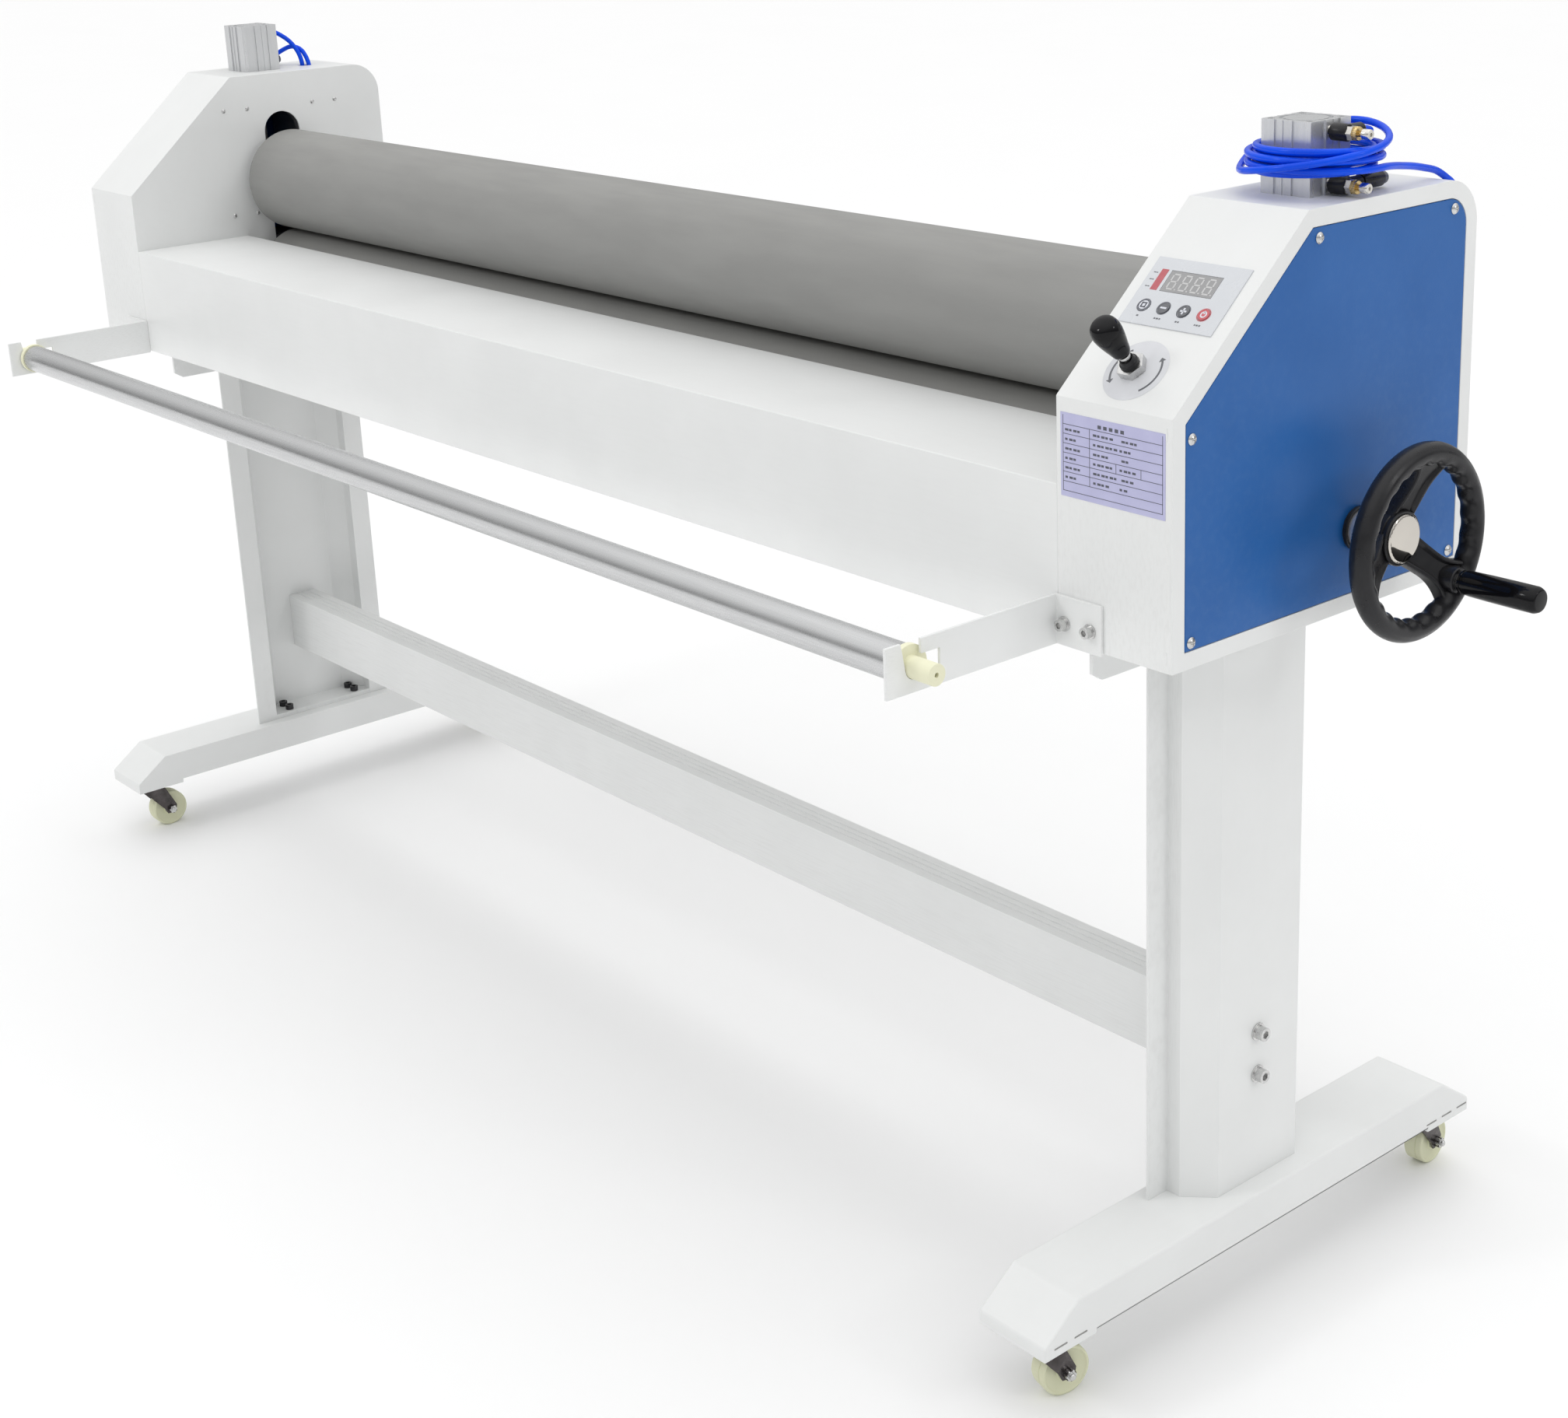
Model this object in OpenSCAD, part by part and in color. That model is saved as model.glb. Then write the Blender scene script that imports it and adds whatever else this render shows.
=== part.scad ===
// Cold roll laminator, 1.6 m class: two rubber rollers between side housings on a wheeled stand.
// +X runs along the rollers to the handwheel, -Y is the operator's side, +Z is up.
// The origin is on the floor, midway between the housings and midway along the feet.

/* [Rollers] */
// Outer diameter of both rubber rollers
roller_d = 130; // [110:1:130]
// Length of the rubber on each roller
roller_l = 1636; // [1600:2:1650]
// Thickness of the rubber sleeve
rubber_t = 10; // [6:1:12]
// Height of the driven roller's axis above the floor
drive_z = 738; // [736:1:740]
// Gap between the rollers at rest
nip_gap = 1; // [0.6:0.1:3]
// Lift of the upper roller
lift = 28; // [10:1:30]

/* [Housings] */
// Distance from the middle to a housing's inner face
inner_x = 835; // [830:1:840]
// Width of each housing
house_w = 122; // [118:1:126]
// Top of the housings above the floor
house_top = 1008; // [1005:1:1010]
// Underside of the housings above the floor
house_bottom = 668; // [666:1:670]
// Height where the front starts to slope back
slope_low = 871; // [860:1:876]
// Radius of the rounded top rear corner
corner_r = 38; // [30:1:44]
// Sheet thickness of the covers
sheet = 2; // [1.5:0.5:2.5]

/* [Table] */
// Height of the front beam's top
table_z = 799; // [790:1:802]
// Depth of the front beam's top
table_depth = 157; // [140:1:158]

/* [Stand] */
// Length of each foot
foot_l = 590; // [560:10:640]
// Width of each foot
foot_w = 80; // [70:2:90]
// Height of the wheeled casters
caster_h = 68; // [67:1:70]
// Diameter of the caster wheels
wheel_d = 48; // [44:1:50]
// Width across a leg's flanges
leg_w = 204; // [190:2:210]
// Height of the crossbar
bar_h = 75; // [60:1:90]

/* [Handwheel] */
// Outer diameter of the handwheel
handwheel_d = 165; // [150:5:180]
// Thickness of the handwheel's rim
rim_t = 20; // [16:1:22]
// Distance of the crank grip from the axis
crank_r = 62; // [58:1:64]

/* [Idler] */
// Outer diameter of the idler tube
idler_d = 32; // [28:1:34]

/* [Hidden] */
$fn = 96;

// housing outline
front_y = -198;
back_y = 176;
slope_top_y = -43;
slope_k = (house_top - slope_low) / (slope_top_y - front_y);
slope_a = atan(slope_k);
outer_x = inner_x + house_w;
cover_edge = 14.5;
cover_gap = 0.6;
cover_t = 2.5;
ledge_w = 16;
house_mid_x = 897;
plate_t = 10;

// rollers and their slides
axis_y = 25.4;
top_z = drive_z + roller_d + nip_gap;
shaft_d = 35;
fit = 0.05;
slot_w = 51;
slot_top_z = 931.5;
block_w = 70;
block_h = 64;
block_x = 870;
block_l = 54;
rail_gap = 0.4;
rail_bottom = 796;
bridge_z = 996;

// air cylinders
cyl_w = 50;
cyl_h = 59.5;
bore_d = 40;
rod_d = 16;
port_low_z = house_top + 8;
port_high_z = house_top + cyl_h - 9.5;
fitting_x = house_mid_x + cyl_w / 2 - 0.8;
port_offset = 11;
port_l = 26;

// stand
foot_x = 866;
foot_h = 39.4;
foot_plate_t = 5;
foot_z = caster_h + foot_plate_t;
foot_top = foot_z + foot_h;
leg_t = 2.5;
leg_in = 842.5;
leg_out = 885;
bar_z = 237.5;
bar_y = 4;
bar_w = 40;
bar_bolt_gap = 42;

// casters
wheel_w = 20;
trail = 22;
caster_y = 263.5;
axle_d = 6;
yaw_front_left = 0;
yaw_front_right = -13;
yaw_rear_left = 8;
yaw_rear_right = 5;

// handwheel
rim_x = 1019;
hub_x = 985;
wheel_a = 42;
crank_y = axis_y + crank_r * cos(wheel_a);
crank_z = drive_z - crank_r * sin(wheel_a);

// idler
idler_y = -355;
idler_z = 686;
stub_d = 18;
bracket_t = 3;
bracket_low = 666;
bracket_high = 708;
bracket_tip = -384.5;

// control panel, on the sloping face
panel_x = 895;
panel_along = 110.5;
valve_x = 892;
valve_along = 37;
lever_pivot = 13.3;
knob_z = 15.6;
key_along = 95.5;
key_pitch = 20.6;
key_x = 862.8;

// mains inlet on the rear of the control housing
inlet_x = 894;
inlet_z = 710;

// hose
hose_d = 6;
hose_end_x = 935;
hose_end_z = 932;
coil_x = 902;
coil_y = 31;
coil_r_in = 43.5;
coil_r_out = 59;
coil_low = 1023.5;
coil_high = 1051.5;

// ---------- shared shapes ----------

// outline of a housing's side, drawn inwards by t
module side_outline(t = 0) {
  k_len = sqrt(1 + slope_k * slope_k);
  low_z = slope_low + t * slope_k - t * k_len;
  top_y = front_y + (house_top - t - slope_low + t * k_len) / slope_k;
  polygon([
    [front_y + t, house_bottom + t], [back_y - t, house_bottom + t],
    [back_y - t, house_top - corner_r], [back_y - corner_r, house_top - t],
    [top_y, house_top - t], [front_y + t, low_z]
  ]);
  intersection() {
    translate([back_y - corner_r, house_top - corner_r]) circle(corner_r - t);
    translate([back_y - corner_r, house_top - corner_r]) square(corner_r);
  }
}

// extrudes a (Y, Z) outline along X from x0
module along_x(x0, length) {
  translate([x0, 0, 0]) rotate([90, 0, 90]) linear_extrude(length) children();
}

// cylinder along X
module rod_x(d, x0, x1, y, z) {
  translate([x0, y, z]) rotate([0, 90, 0]) cylinder(d = d, h = x1 - x0);
}

// cylinder along Y
module rod_y(d, y0, y1, x, z) {
  translate([x, y0, z]) rotate([-90, 0, 0]) cylinder(d = d, h = y1 - y0);
}

// box from its two corners
module span(low, high) {
  translate(low) cube(high - low);
}

// upright slot outline in (Y, Z) for both roller shafts
module shaft_slot(w) {
  translate([axis_y, drive_z]) circle(d = w);
  translate([axis_y, slot_top_z]) circle(d = w);
  translate([axis_y - w / 2, drive_z]) square([w, slot_top_z - drive_z]);
}

// puts children on the right, or mirrored on the left
module side(s) {
  if (s > 0) children();
  else mirror([1, 0, 0]) children();
}

// puts children on the sloping front face, local x = X, y = up the slope, z = outwards
module on_slope(x, along) {
  translate([x, front_y, slope_low]) rotate([slope_a, 0, 0]) translate([0, along, 0]) children();
}

// socket cap screw with a washer, head along +Z, its seat at z = 0
module cap_screw(d, washer = true) {
  seat = washer ? 1.6 : 0;
  difference() {
    union() {
      if (washer) cylinder(d = 2.1 * d, h = seat);
      translate([0, 0, seat]) cylinder(d = 1.6 * d, h = d);
    }
    translate([0, 0, seat + 0.45 * d]) cylinder(d = 0.95 * d, h = d, $fn = 6);
  }
}

// pan head screw, its seat at z = 0
module pan_screw(d) {
  difference() {
    intersection() {
      cylinder(d = 1.9 * d, h = 0.6 * d);
      translate([0, 0, -0.6 * d]) sphere(d = 2.4 * d);
    }
    translate([-0.5 * d, -0.1 * d, 0.4 * d]) cube([d, 0.2 * d, d]);
    translate([-0.1 * d, -0.5 * d, 0.4 * d]) cube([0.2 * d, d, d]);
  }
}

// tube swept along points, closed at both ends
function unit(v) = v / norm(v);
function run_dir(p, i) = unit(p[min(i + 1, len(p) - 1)] - p[max(i - 1, 0)]);
function side_dir(t) = unit(cross(t, abs(t[2]) > 0.9 ? [0, 1, 0] : [0, 0, 1]));
function frames(p, i = 0, u = undef) =
  let (t = run_dir(p, i), v = is_undef(u) ? side_dir(t) : unit(u - (u * t) * t))
  i == len(p) - 1 ? [v] : concat([v], frames(p, i + 1, v));
module swept_tube(p, d, sides = 8) {
  u = frames(p);
  n = len(p);
  pts = [for (i = [0:n - 1], k = [0:sides - 1])
    let (t = run_dir(p, i), w = cross(t, u[i]), a = 360 * k / sides)
    p[i] + d / 2 * (cos(a) * u[i] + sin(a) * w)];
  skin = [for (i = [0:n - 2], k = [0:sides - 1])
    let (a = i * sides + k, b = i * sides + (k + 1) % sides)
    [a, a + sides, b + sides, b]];
  ends = [[for (k = [0:sides - 1]) k], [for (k = [sides - 1:-1:0]) (n - 1) * sides + k]];
  polyhedron(pts, concat(skin, ends));
}

// a smooth run through hand-set points, m steps between neighbours
function spline_at(a, b, c, d, t) =
  0.5 * (2 * b + (c - a) * t + (2 * a - 5 * b + 4 * c - d) * t * t + (3 * b - a - 3 * c + d) * t * t * t);
function smooth(p, m) = concat(
  [for (i = [0:len(p) - 2], s = [0:m - 1])
    spline_at(p[max(i - 1, 0)], p[i], p[i + 1], p[min(i + 2, len(p) - 1)], s / m)],
  [p[len(p) - 1]]);

// ---------- stand ----------

module foot(s) {
  half = foot_l / 2;
  inner = foot_w / 2 - 3;
  nose = 9.4;
  run = 41.5;
  plate_l = 64;
  color("whitesmoke") side(s) {
    difference() {
      along_x(foot_x - foot_w / 2, foot_w) polygon([
        [-half, foot_z], [half, foot_z], [half, foot_z + nose], [half - run, foot_top],
        [-half + run, foot_top], [-half, foot_z + nose]
      ]);
      span([foot_x - inner, -half + plate_l + 2, foot_z - 1],
        [foot_x + inner, half - plate_l - 2, foot_top - 3]);
    }
    for (e = [-1, 1])
      translate([foot_x - foot_w / 2, e * (half - plate_l / 2) - plate_l / 2, caster_h])
        cube([foot_w, plate_l, foot_plate_t]);
  }
}

// hat section seen from above, crown outwards, drawn in (X, Y)
module leg_section() {
  h = leg_w / 2;
  step_y = h - 25;
  web_y = step_y - 23.5;
  step_x = leg_in + 17.5;
  bend = leg_t * tan(22.5);
  polygon([
    [leg_in, h], [leg_in + leg_t, h], [leg_in + leg_t, step_y], [step_x, step_y],
    [leg_out, web_y], [leg_out, -web_y], [step_x, -step_y], [leg_in + leg_t, -step_y],
    [leg_in + leg_t, -h], [leg_in, -h], [leg_in, -step_y + leg_t], [step_x - bend, -step_y + leg_t],
    [leg_out - leg_t, -web_y + bend], [leg_out - leg_t, web_y - bend],
    [step_x - bend, step_y - leg_t], [leg_in, step_y - leg_t]
  ]);
}

// flat plate that fills the hat section's inside
module leg_inner() {
  h = leg_w / 2 - 27.5;
  w = h - 22.5;
  polygon([
    [leg_in + 0.5, h], [leg_in + 17, h], [leg_out - leg_t, w + 1], [leg_out - leg_t, -w - 1],
    [leg_in + 17, -h], [leg_in + 0.5, -h]
  ]);
}

module leg(s) {
  hanger_y = 166;
  hanger_h = 44;
  color("whitesmoke") side(s) {
    translate([0, 0, foot_top]) linear_extrude(house_bottom - foot_top) leg_section();
    translate([0, 0, foot_top]) linear_extrude(6) leg_inner();
    translate([0, 0, house_bottom - 6]) linear_extrude(6) leg_inner();
    along_x(leg_in - 4, 4) polygon([
      [-hanger_y, house_bottom], [-hanger_y, house_bottom - hanger_h + 7],
      [-hanger_y + 11, house_bottom - hanger_h], [hanger_y - 11, house_bottom - hanger_h],
      [hanger_y, house_bottom - hanger_h + 7], [hanger_y, house_bottom]
    ]);
  }
}

module leg_base_bolts() {
  color("dimgray") for (s = [-1, 1], x = [853, 871], y = [-49, 55])
    translate([s * x, y, foot_top + 6]) cap_screw(7, washer = false);
}

module crossbar() {
  end_x = leg_out - leg_t;
  low = bar_z - bar_h / 2;
  wall = 2.5;
  color("whitesmoke") difference() {
    span([-end_x, bar_y - bar_w / 2, low], [end_x, bar_y + bar_w / 2, low + bar_h]);
    span([-end_x + 6, bar_y - bar_w / 2 + wall, low + wall],
      [end_x - 6, bar_y + bar_w / 2 - wall, low + bar_h - wall]);
    for (g = [-8, 0, 8])
      span([-end_x - 1, bar_y + g - 1, low + bar_h - 0.8], [end_x + 1, bar_y + g + 1, low + bar_h + 1]);
  }
}

module frame_cap_screws() {
  color("silver") {
    for (s = [-1, 1], e = [-1, 1])
      translate([s * leg_out, bar_y - 6, bar_z + e * bar_bolt_gap / 2 + 1])
        rotate([0, 90 * s, 0]) cap_screw(8);
    for (s = [-1, 1], x = [845, 873])
      translate([s * x, front_y - bracket_t, 685]) rotate([90, 0, 0]) cap_screw(6);
  }
}

// ---------- housings ----------

module housing(s) {
  ledge_x = outer_x - cover_t - 3;
  color("white") side(s) difference() {
    along_x(inner_x, house_w) side_outline();
    along_x(inner_x + sheet, ledge_x - inner_x - sheet) side_outline(sheet);
    along_x(ledge_x - 1, 5) side_outline(cover_edge + ledge_w);
    along_x(outer_x - cover_t, cover_t + 1) side_outline(cover_edge);
    along_x(inner_x - 1, sheet + 2) shaft_slot(slot_w);
    translate([house_mid_x, axis_y, house_top - sheet - 1]) cylinder(d = 20, h = sheet + 2);
    if (s > 0) {
      on_slope(valve_x, valve_along) translate([0, 0, -sheet - 1]) cylinder(d = 16, h = sheet + 2);
      span([inlet_x - 24, back_y - sheet - 1, inlet_z - 14], [inlet_x + 24, back_y + 1, inlet_z + 14]);
      rod_y(12, back_y - sheet - 1, back_y + 1, hose_end_x, hose_end_z);
    } else {
      translate([893, 99, house_top - sheet - 1]) cylinder(d = 18, h = sheet + 2);
    }
  }
}

module side_cover(s) {
  color("steelblue") side(s) difference() {
    along_x(outer_x - cover_t, cover_t) side_outline(cover_edge + cover_gap);
    if (s > 0) rod_x(34, outer_x - cover_t - 1, outer_x + 1, axis_y, drive_z);
  }
}

module housing_screws() {
  spots = [[-176.5, 689.5], [-176.5, 852], [-30, 984.5], [144, 984.5], [152.5, 689.5]];
  color("silver") for (s = [-1, 1]) {
    for (p = spots)
      translate([s * outer_x, p[0], p[1]]) rotate([0, 90 * s, 0]) pan_screw(5);
    for (dy = [-82, -48, 48, 82], z = [827, 965])
      translate([s * inner_x, axis_y + dy, z]) rotate([0, -90 * s, 0]) pan_screw(3);
  }
}

module side_plate(s) {
  low = house_bottom + sheet;
  color("gray") side(s) along_x(inner_x + sheet, plate_t) difference() {
    polygon([
      [-150, low], [150, low], [150, 980], [132, 995], [-52, 995], [-150, 900]
    ]);
    shaft_slot(slot_w);
  }
}

module front_beam() {
  y1 = front_y + table_depth;
  color("white") along_x(-inner_x, 2 * inner_x) polygon([
    [front_y, house_bottom], [front_y + 30, house_bottom], [front_y + 30, house_bottom + sheet],
    [front_y + sheet, house_bottom + sheet], [front_y + sheet, table_z - sheet],
    [y1 - sheet, table_z - sheet], [y1 - sheet, table_z - 18], [y1, table_z - 18],
    [y1, table_z], [front_y, table_z]
  ]);
}

module rear_beam() {
  y0 = 98;
  top = 786;
  color("white") along_x(-inner_x, 2 * inner_x) polygon([
    [back_y, house_bottom], [back_y, top], [y0, top], [y0, top - 18], [y0 + sheet, top - 18],
    [y0 + sheet, top - sheet], [back_y - sheet, top - sheet], [back_y - sheet, house_bottom + sheet],
    [back_y - 30, house_bottom + sheet], [back_y - 30, house_bottom]
  ]);
}

// ---------- rollers, slides and drive ----------

module slide_guides() {
  x0 = inner_x + sheet + plate_t;
  half = block_w / 2 + rail_gap;
  color("gray") for (s = [-1, 1]) side(s) difference() {
    union() {
      for (e = [-1, 1]) {
        translate([x0, e > 0 ? axis_y + half : axis_y - half - 24, rail_bottom])
          cube([928 - x0, 24, bridge_z - rail_bottom]);
        translate([x0, e > 0 ? axis_y + half : axis_y - half - 56, rail_bottom])
          cube([10, 56, bridge_z - rail_bottom - 24]);
      }
      span([x0, axis_y - half - 24, bridge_z - 1], [928, axis_y + half + 24, house_top - sheet]);
    }
    translate([house_mid_x, axis_y, bridge_z - 2]) cylinder(d = 20, h = 20);
  }
}

module bearing_block(s) {
  color("slategray") side(s) difference() {
    span([block_x, axis_y - block_w / 2, top_z - block_h / 2],
      [block_x + block_l, axis_y + block_w / 2, top_z + block_h / 2]);
    rod_x(shaft_d + 2 * fit, block_x - 1, block_x + block_l + 1, axis_y, top_z);
  }
}

// roller core: tube, two end discs and the journals
module roller_core(z, left_end, right_end) {
  half = roller_l / 2;
  core_d = roller_d - 2 * rubber_t;
  difference() {
    rod_x(core_d, -half, half, axis_y, z);
    rod_x(core_d - 16, -half + 16, half - 16, axis_y, z);
  }
  rod_x(shaft_d, half - 1, right_end, axis_y, z);
  rod_x(shaft_d, -left_end, -half + 1, axis_y, z);
}

module roller_rubber(z) {
  half = roller_l / 2;
  difference() {
    rod_x(roller_d, -half, half, axis_y, z);
    rod_x(roller_d - 2 * rubber_t, -half - 1, half + 1, axis_y, z);
  }
}

module top_roller_shaft() {
  color("silver") roller_core(top_z, block_x + block_l + 4, block_x + block_l + 4);
}

module top_roller_rubber() {
  color("darkgray") roller_rubber(top_z);
}

module drive_roller_shaft() {
  color("silver") {
    roller_core(drive_z, 925, 950);
    rod_x(32, 949, hub_x, axis_y, drive_z);
  }
}

module drive_roller_rubber() {
  color("darkgray") roller_rubber(drive_z);
}

module drive_bearings() {
  x0 = inner_x + sheet + plate_t;
  color("slategray") for (s = [-1, 1]) side(s) difference() {
    union() {
      rod_x(90, x0, x0 + 12, axis_y, drive_z);
      rod_x(66, x0 + 11, x0 + 22, axis_y, drive_z);
    }
    rod_x(shaft_d + 2 * fit, x0 - 1, x0 + 23, axis_y, drive_z);
  }
}

// worm gear motor on the left end of the driven roller
module gear_motor() {
  color("dimgray") side(-1) difference() {
    union() {
      span([874, axis_y - 42, drive_z - 52], [932, axis_y + 42, drive_z + 50]);
      rod_y(70, axis_y - 190, axis_y - 41, 903, drive_z - 18);
      span([871, -140, drive_z - 68], [935, -60, drive_z - 45]);
    }
    rod_x(shaft_d + 2 * fit, 870, 940, axis_y, drive_z);
  }
}

// ---------- air cylinders ----------

// square section with a shallow channel on each face
module cylinder_section() {
  h = cyl_w / 2;
  difference() {
    square(cyl_w, center = true);
    for (a = [0:90:270]) rotate(a) {
      for (e = [-1, 1]) translate([h - 1.4, e * 9 - 3]) square([2, 6]);
      translate([h - 0.8, -3.5]) square([2, 7]);
    }
  }
}

module air_cylinder(s) {
  floor_t = 6;
  roof_t = 5.5;
  color("lightgray") side(s) translate([house_mid_x, axis_y, house_top]) difference() {
    linear_extrude(cyl_h) cylinder_section();
    translate([0, 0, floor_t]) cylinder(d = bore_d, h = cyl_h - floor_t - roof_t);
    translate([0, 0, -1]) cylinder(d = rod_d + 2 * fit, h = floor_t + 2);
    translate([0, 0, cyl_h - 1.5]) difference() {
      cylinder(d = 43, h = 2);
      translate([0, 0, -1]) cylinder(d = 36, h = 3);
    }
    for (x = [-19.5, 19.5], y = [-19.5, 19.5])
      translate([x, y, cyl_h - 5]) cylinder(d = 6, h = 6);
  }
}

module piston_rods() {
  color("silver") for (s = [-1, 1]) side(s) translate([house_mid_x, axis_y, 0]) {
    translate([0, 0, top_z + block_h / 2]) cylinder(d = rod_d, h = house_top + 7 - top_z - block_h / 2);
    translate([0, 0, house_top + 6.5]) cylinder(d = bore_d - 2 * fit, h = 12);
  }
}

// speed controller on a cylinder's outer face, with its tube port to the rear
module speed_controller(z) {
  face = fitting_x;
  rod_x(9, face, face + 4, axis_y, z);
  rod_x(14, face + 3, face + 19, axis_y, z);
  translate([face + 18.5, axis_y, z]) rotate([0, 90, 0]) cylinder(d = 12, h = 6, $fn = 6);
  rod_x(11.5, face + 24, face + 29, axis_y, z);
  rod_x(5, face + 28.5, face + 33, axis_y, z);
  rod_x(8.5, face + 32.5, face + 40, axis_y, z);
  rod_y(11, axis_y, axis_y + port_l, face + port_offset, z);
}

module air_fittings() {
  color("goldenrod") {
    for (s = [-1, 1], z = [port_low_z, port_high_z]) side(s) speed_controller(z);
    rod_y(13.4, axis_y + port_l - 1, axis_y + port_l + 31, fitting_x + port_offset, port_low_z);
    rod_y(18, back_y, back_y + 5, hose_end_x, hose_end_z);
    rod_y(11.6, back_y - 8, back_y + 16, hose_end_x, hose_end_z);
    translate([hose_end_x, back_y + 10, hose_end_z]) cylinder(d = 12, h = 18);
  }
}

// lead from the upper port to the coil, then the tail over the rear edge to the inlet elbow
lead_route = [
  [932, 51.4, 1058], [932, 61, 1058], [929, 71, 1057.5], [921, 78, 1057], [910, 81, 1056], [898, 81, 1054.5]
];
tail_route = [
  [958, 38, 1030], [957, 50, 1030], [953, 66, 1028.5], [948, 84, 1026], [944, 104, 1023], [941, 124, 1019],
  [939, 142, 1014.5], [939, 157, 1006.6], [939, 167, 999.4], [938, 175.5, 987.5], [937, 179.6, 974],
  [936, 182.5, 962], [935, 186, 950]
];

module hose_coil() {
  color("royalblue") translate([coil_x, coil_y, 0]) rotate_extrude()
    translate([coil_r_in, coil_low]) square([coil_r_out - coil_r_in, coil_high - coil_low]);
}

module hose_tail() {
  color("royalblue") {
    swept_tube(smooth(lead_route, 3), hose_d);
    swept_tube(smooth(tail_route, 3), hose_d);
  }
}

// two short tubes from the left cylinder into the housing
upper_tube_route = [
  [-932, 51.4, 1058], [-931, 62, 1057], [-924, 76, 1052], [-912, 88, 1041], [-902, 95, 1026],
  [-897, 97, 1011], [-896, 97, 996]
];
lower_tube_route = [
  [-932, 51.4, 1016], [-932, 62, 1017], [-928, 78, 1024], [-917, 92, 1032], [-904, 101, 1028],
  [-893, 104, 1013], [-889, 104, 996]
];

module left_air_tubes() {
  color("royalblue") {
    swept_tube(smooth(upper_tube_route, 3), hose_d);
    swept_tube(smooth(lower_tube_route, 3), hose_d);
  }
}

// ---------- controls on the sloping face ----------

module valve_body() {
  cup_z = 9.5;
  color("dimgray") on_slope(valve_x, valve_along) {
    translate([-15, -18, -46]) cube([30, 36, 40]);
    translate([0, 0, -7]) cylinder(d = 15.8, h = cup_z + 7);
    translate([0, 0, cup_z - 0.5]) difference() {
      cylinder(d1 = 14, d2 = 12, h = 4);
      translate([0, 0, 1]) cylinder(d = 10, h = 4);
    }
  }
}

module valve_nut() {
  color("silver") on_slope(valve_x, valve_along) difference() {
    cylinder(d = 25, h = 7, $fn = 6);
    translate([0, 0, -1]) cylinder(d = 15.8, h = 9);
  }
}

module valve_lever() {
  color("silver") on_slope(valve_x, valve_along) {
    translate([0, -4, lever_pivot]) rotate([-90, 0, 0]) cylinder(d = 4.4, h = 8);
    translate([0, 0, lever_pivot]) cylinder(d = 5, h = 18);
  }
}

module valve_knob() {
  color("black") on_slope(valve_x, valve_along) translate([0, 0, knob_z]) difference() {
    rotate_extrude() polygon([
      [0, 0], [5.2, 0], [7.4, 2.4], [11, 18], [12.3, 27], [12, 33], [10.2, 37.5], [6.5, 40.5], [0, 41.5]
    ]);
    translate([0, 0, -1]) cylinder(d = 5 + 2 * fit, h = 18);
  }
}

module control_panel() {
  color("lavender") on_slope(panel_x, panel_along) difference() {
    translate([-48, -33, 0]) cube([96, 66, 1]);
    translate([-27, 0.5, -1]) cube([53, 21, 3]);
    for (i = [0:3])
      translate([key_x + i * key_pitch - panel_x, key_along - panel_along, 0.2]) cylinder(d = 11, h = 2);
  }
}

module display_window() {
  color("gray") on_slope(panel_x, panel_along) translate([-26.7, 0.8, 0]) cube([52.4, 20.4, 0.9]);
}

module key(i) {
  on_slope(key_x + i * key_pitch, key_along) translate([0, 0, 0.9]) cylinder(d = 10.4, h = 0.7);
}

module set_button() { color("white") key(0); }
module minus_button() { color("gray") key(1); }
module plus_button() { color("gray") key(2); }
module power_button() { color("salmon") key(3); }

// mains inlet socket on the rear
module power_inlet() {
  color("black") {
    difference() {
      union() {
        span([inlet_x - 30, back_y, inlet_z - 20], [inlet_x + 30, back_y + 3, inlet_z + 20]);
        span([inlet_x - 23.8, back_y - 28, inlet_z - 13.8], [inlet_x + 23.8, back_y + 1, inlet_z + 13.8]);
      }
      span([inlet_x - 13, back_y - 18, inlet_z - 8.5], [inlet_x + 13, back_y + 4, inlet_z + 8.5]);
    }
    for (p = [[-7, -2.5], [0, 2.5], [7, -2.5]])
      translate([inlet_x + p[0], back_y - 11.5, inlet_z + p[1]]) cube([2, 15, 4.4], center = true);
  }
}

// ---------- handwheel ----------

module handwheel() {
  ring_r = handwheel_d / 2 - rim_t / 2;
  color("dimgray") {
    translate([rim_x, axis_y, drive_z]) rotate([0, 90, 0]) rotate_extrude()
      translate([ring_r, 0]) circle(d = rim_t, $fn = 48);
    rod_x(46, hub_x, hub_x + 19, axis_y, drive_z);
    for (a = [-wheel_a, 120 - wheel_a, 240 - wheel_a])
      translate([0, axis_y, drive_z]) rotate([a, 0, 0]) hull() {
        translate([hub_x + 3, 16, -11]) cube([13, 4, 22]);
        translate([rim_x - 7, ring_r - 4, -10]) cube([13, 4, 20]);
      }
    rod_x(22, rim_x - 6, rim_x + 8, crank_y, crank_z);
  }
}

module hub_cap() {
  color("silver") translate([hub_x + 19, axis_y, drive_z]) rotate([0, 90, 0])
    rotate_extrude() polygon([[0, 0], [20.5, 0], [20.5, 1.2], [18.5, 2.6], [0, 3.4]]);
}

module crank_spindle() {
  color("silver") {
    rod_x(12, rim_x + 8, rim_x + 11, crank_y, crank_z);
    rod_x(8, rim_x + 10.5, rim_x + 82, crank_y, crank_z);
  }
}

module crank_grip() {
  color("black") translate([rim_x + 11.4, crank_y, crank_z]) rotate([0, 90, 0]) difference() {
    rotate_extrude() polygon([
      [0, 0], [8.5, 0], [9.5, 1.5], [11.2, 30], [11.2, 66], [10, 72], [7.5, 74], [0, 74]
    ]);
    translate([0, 0, -1]) cylinder(d = 8 + 2 * fit, h = 73);
  }
}

// ---------- idler ----------

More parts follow.
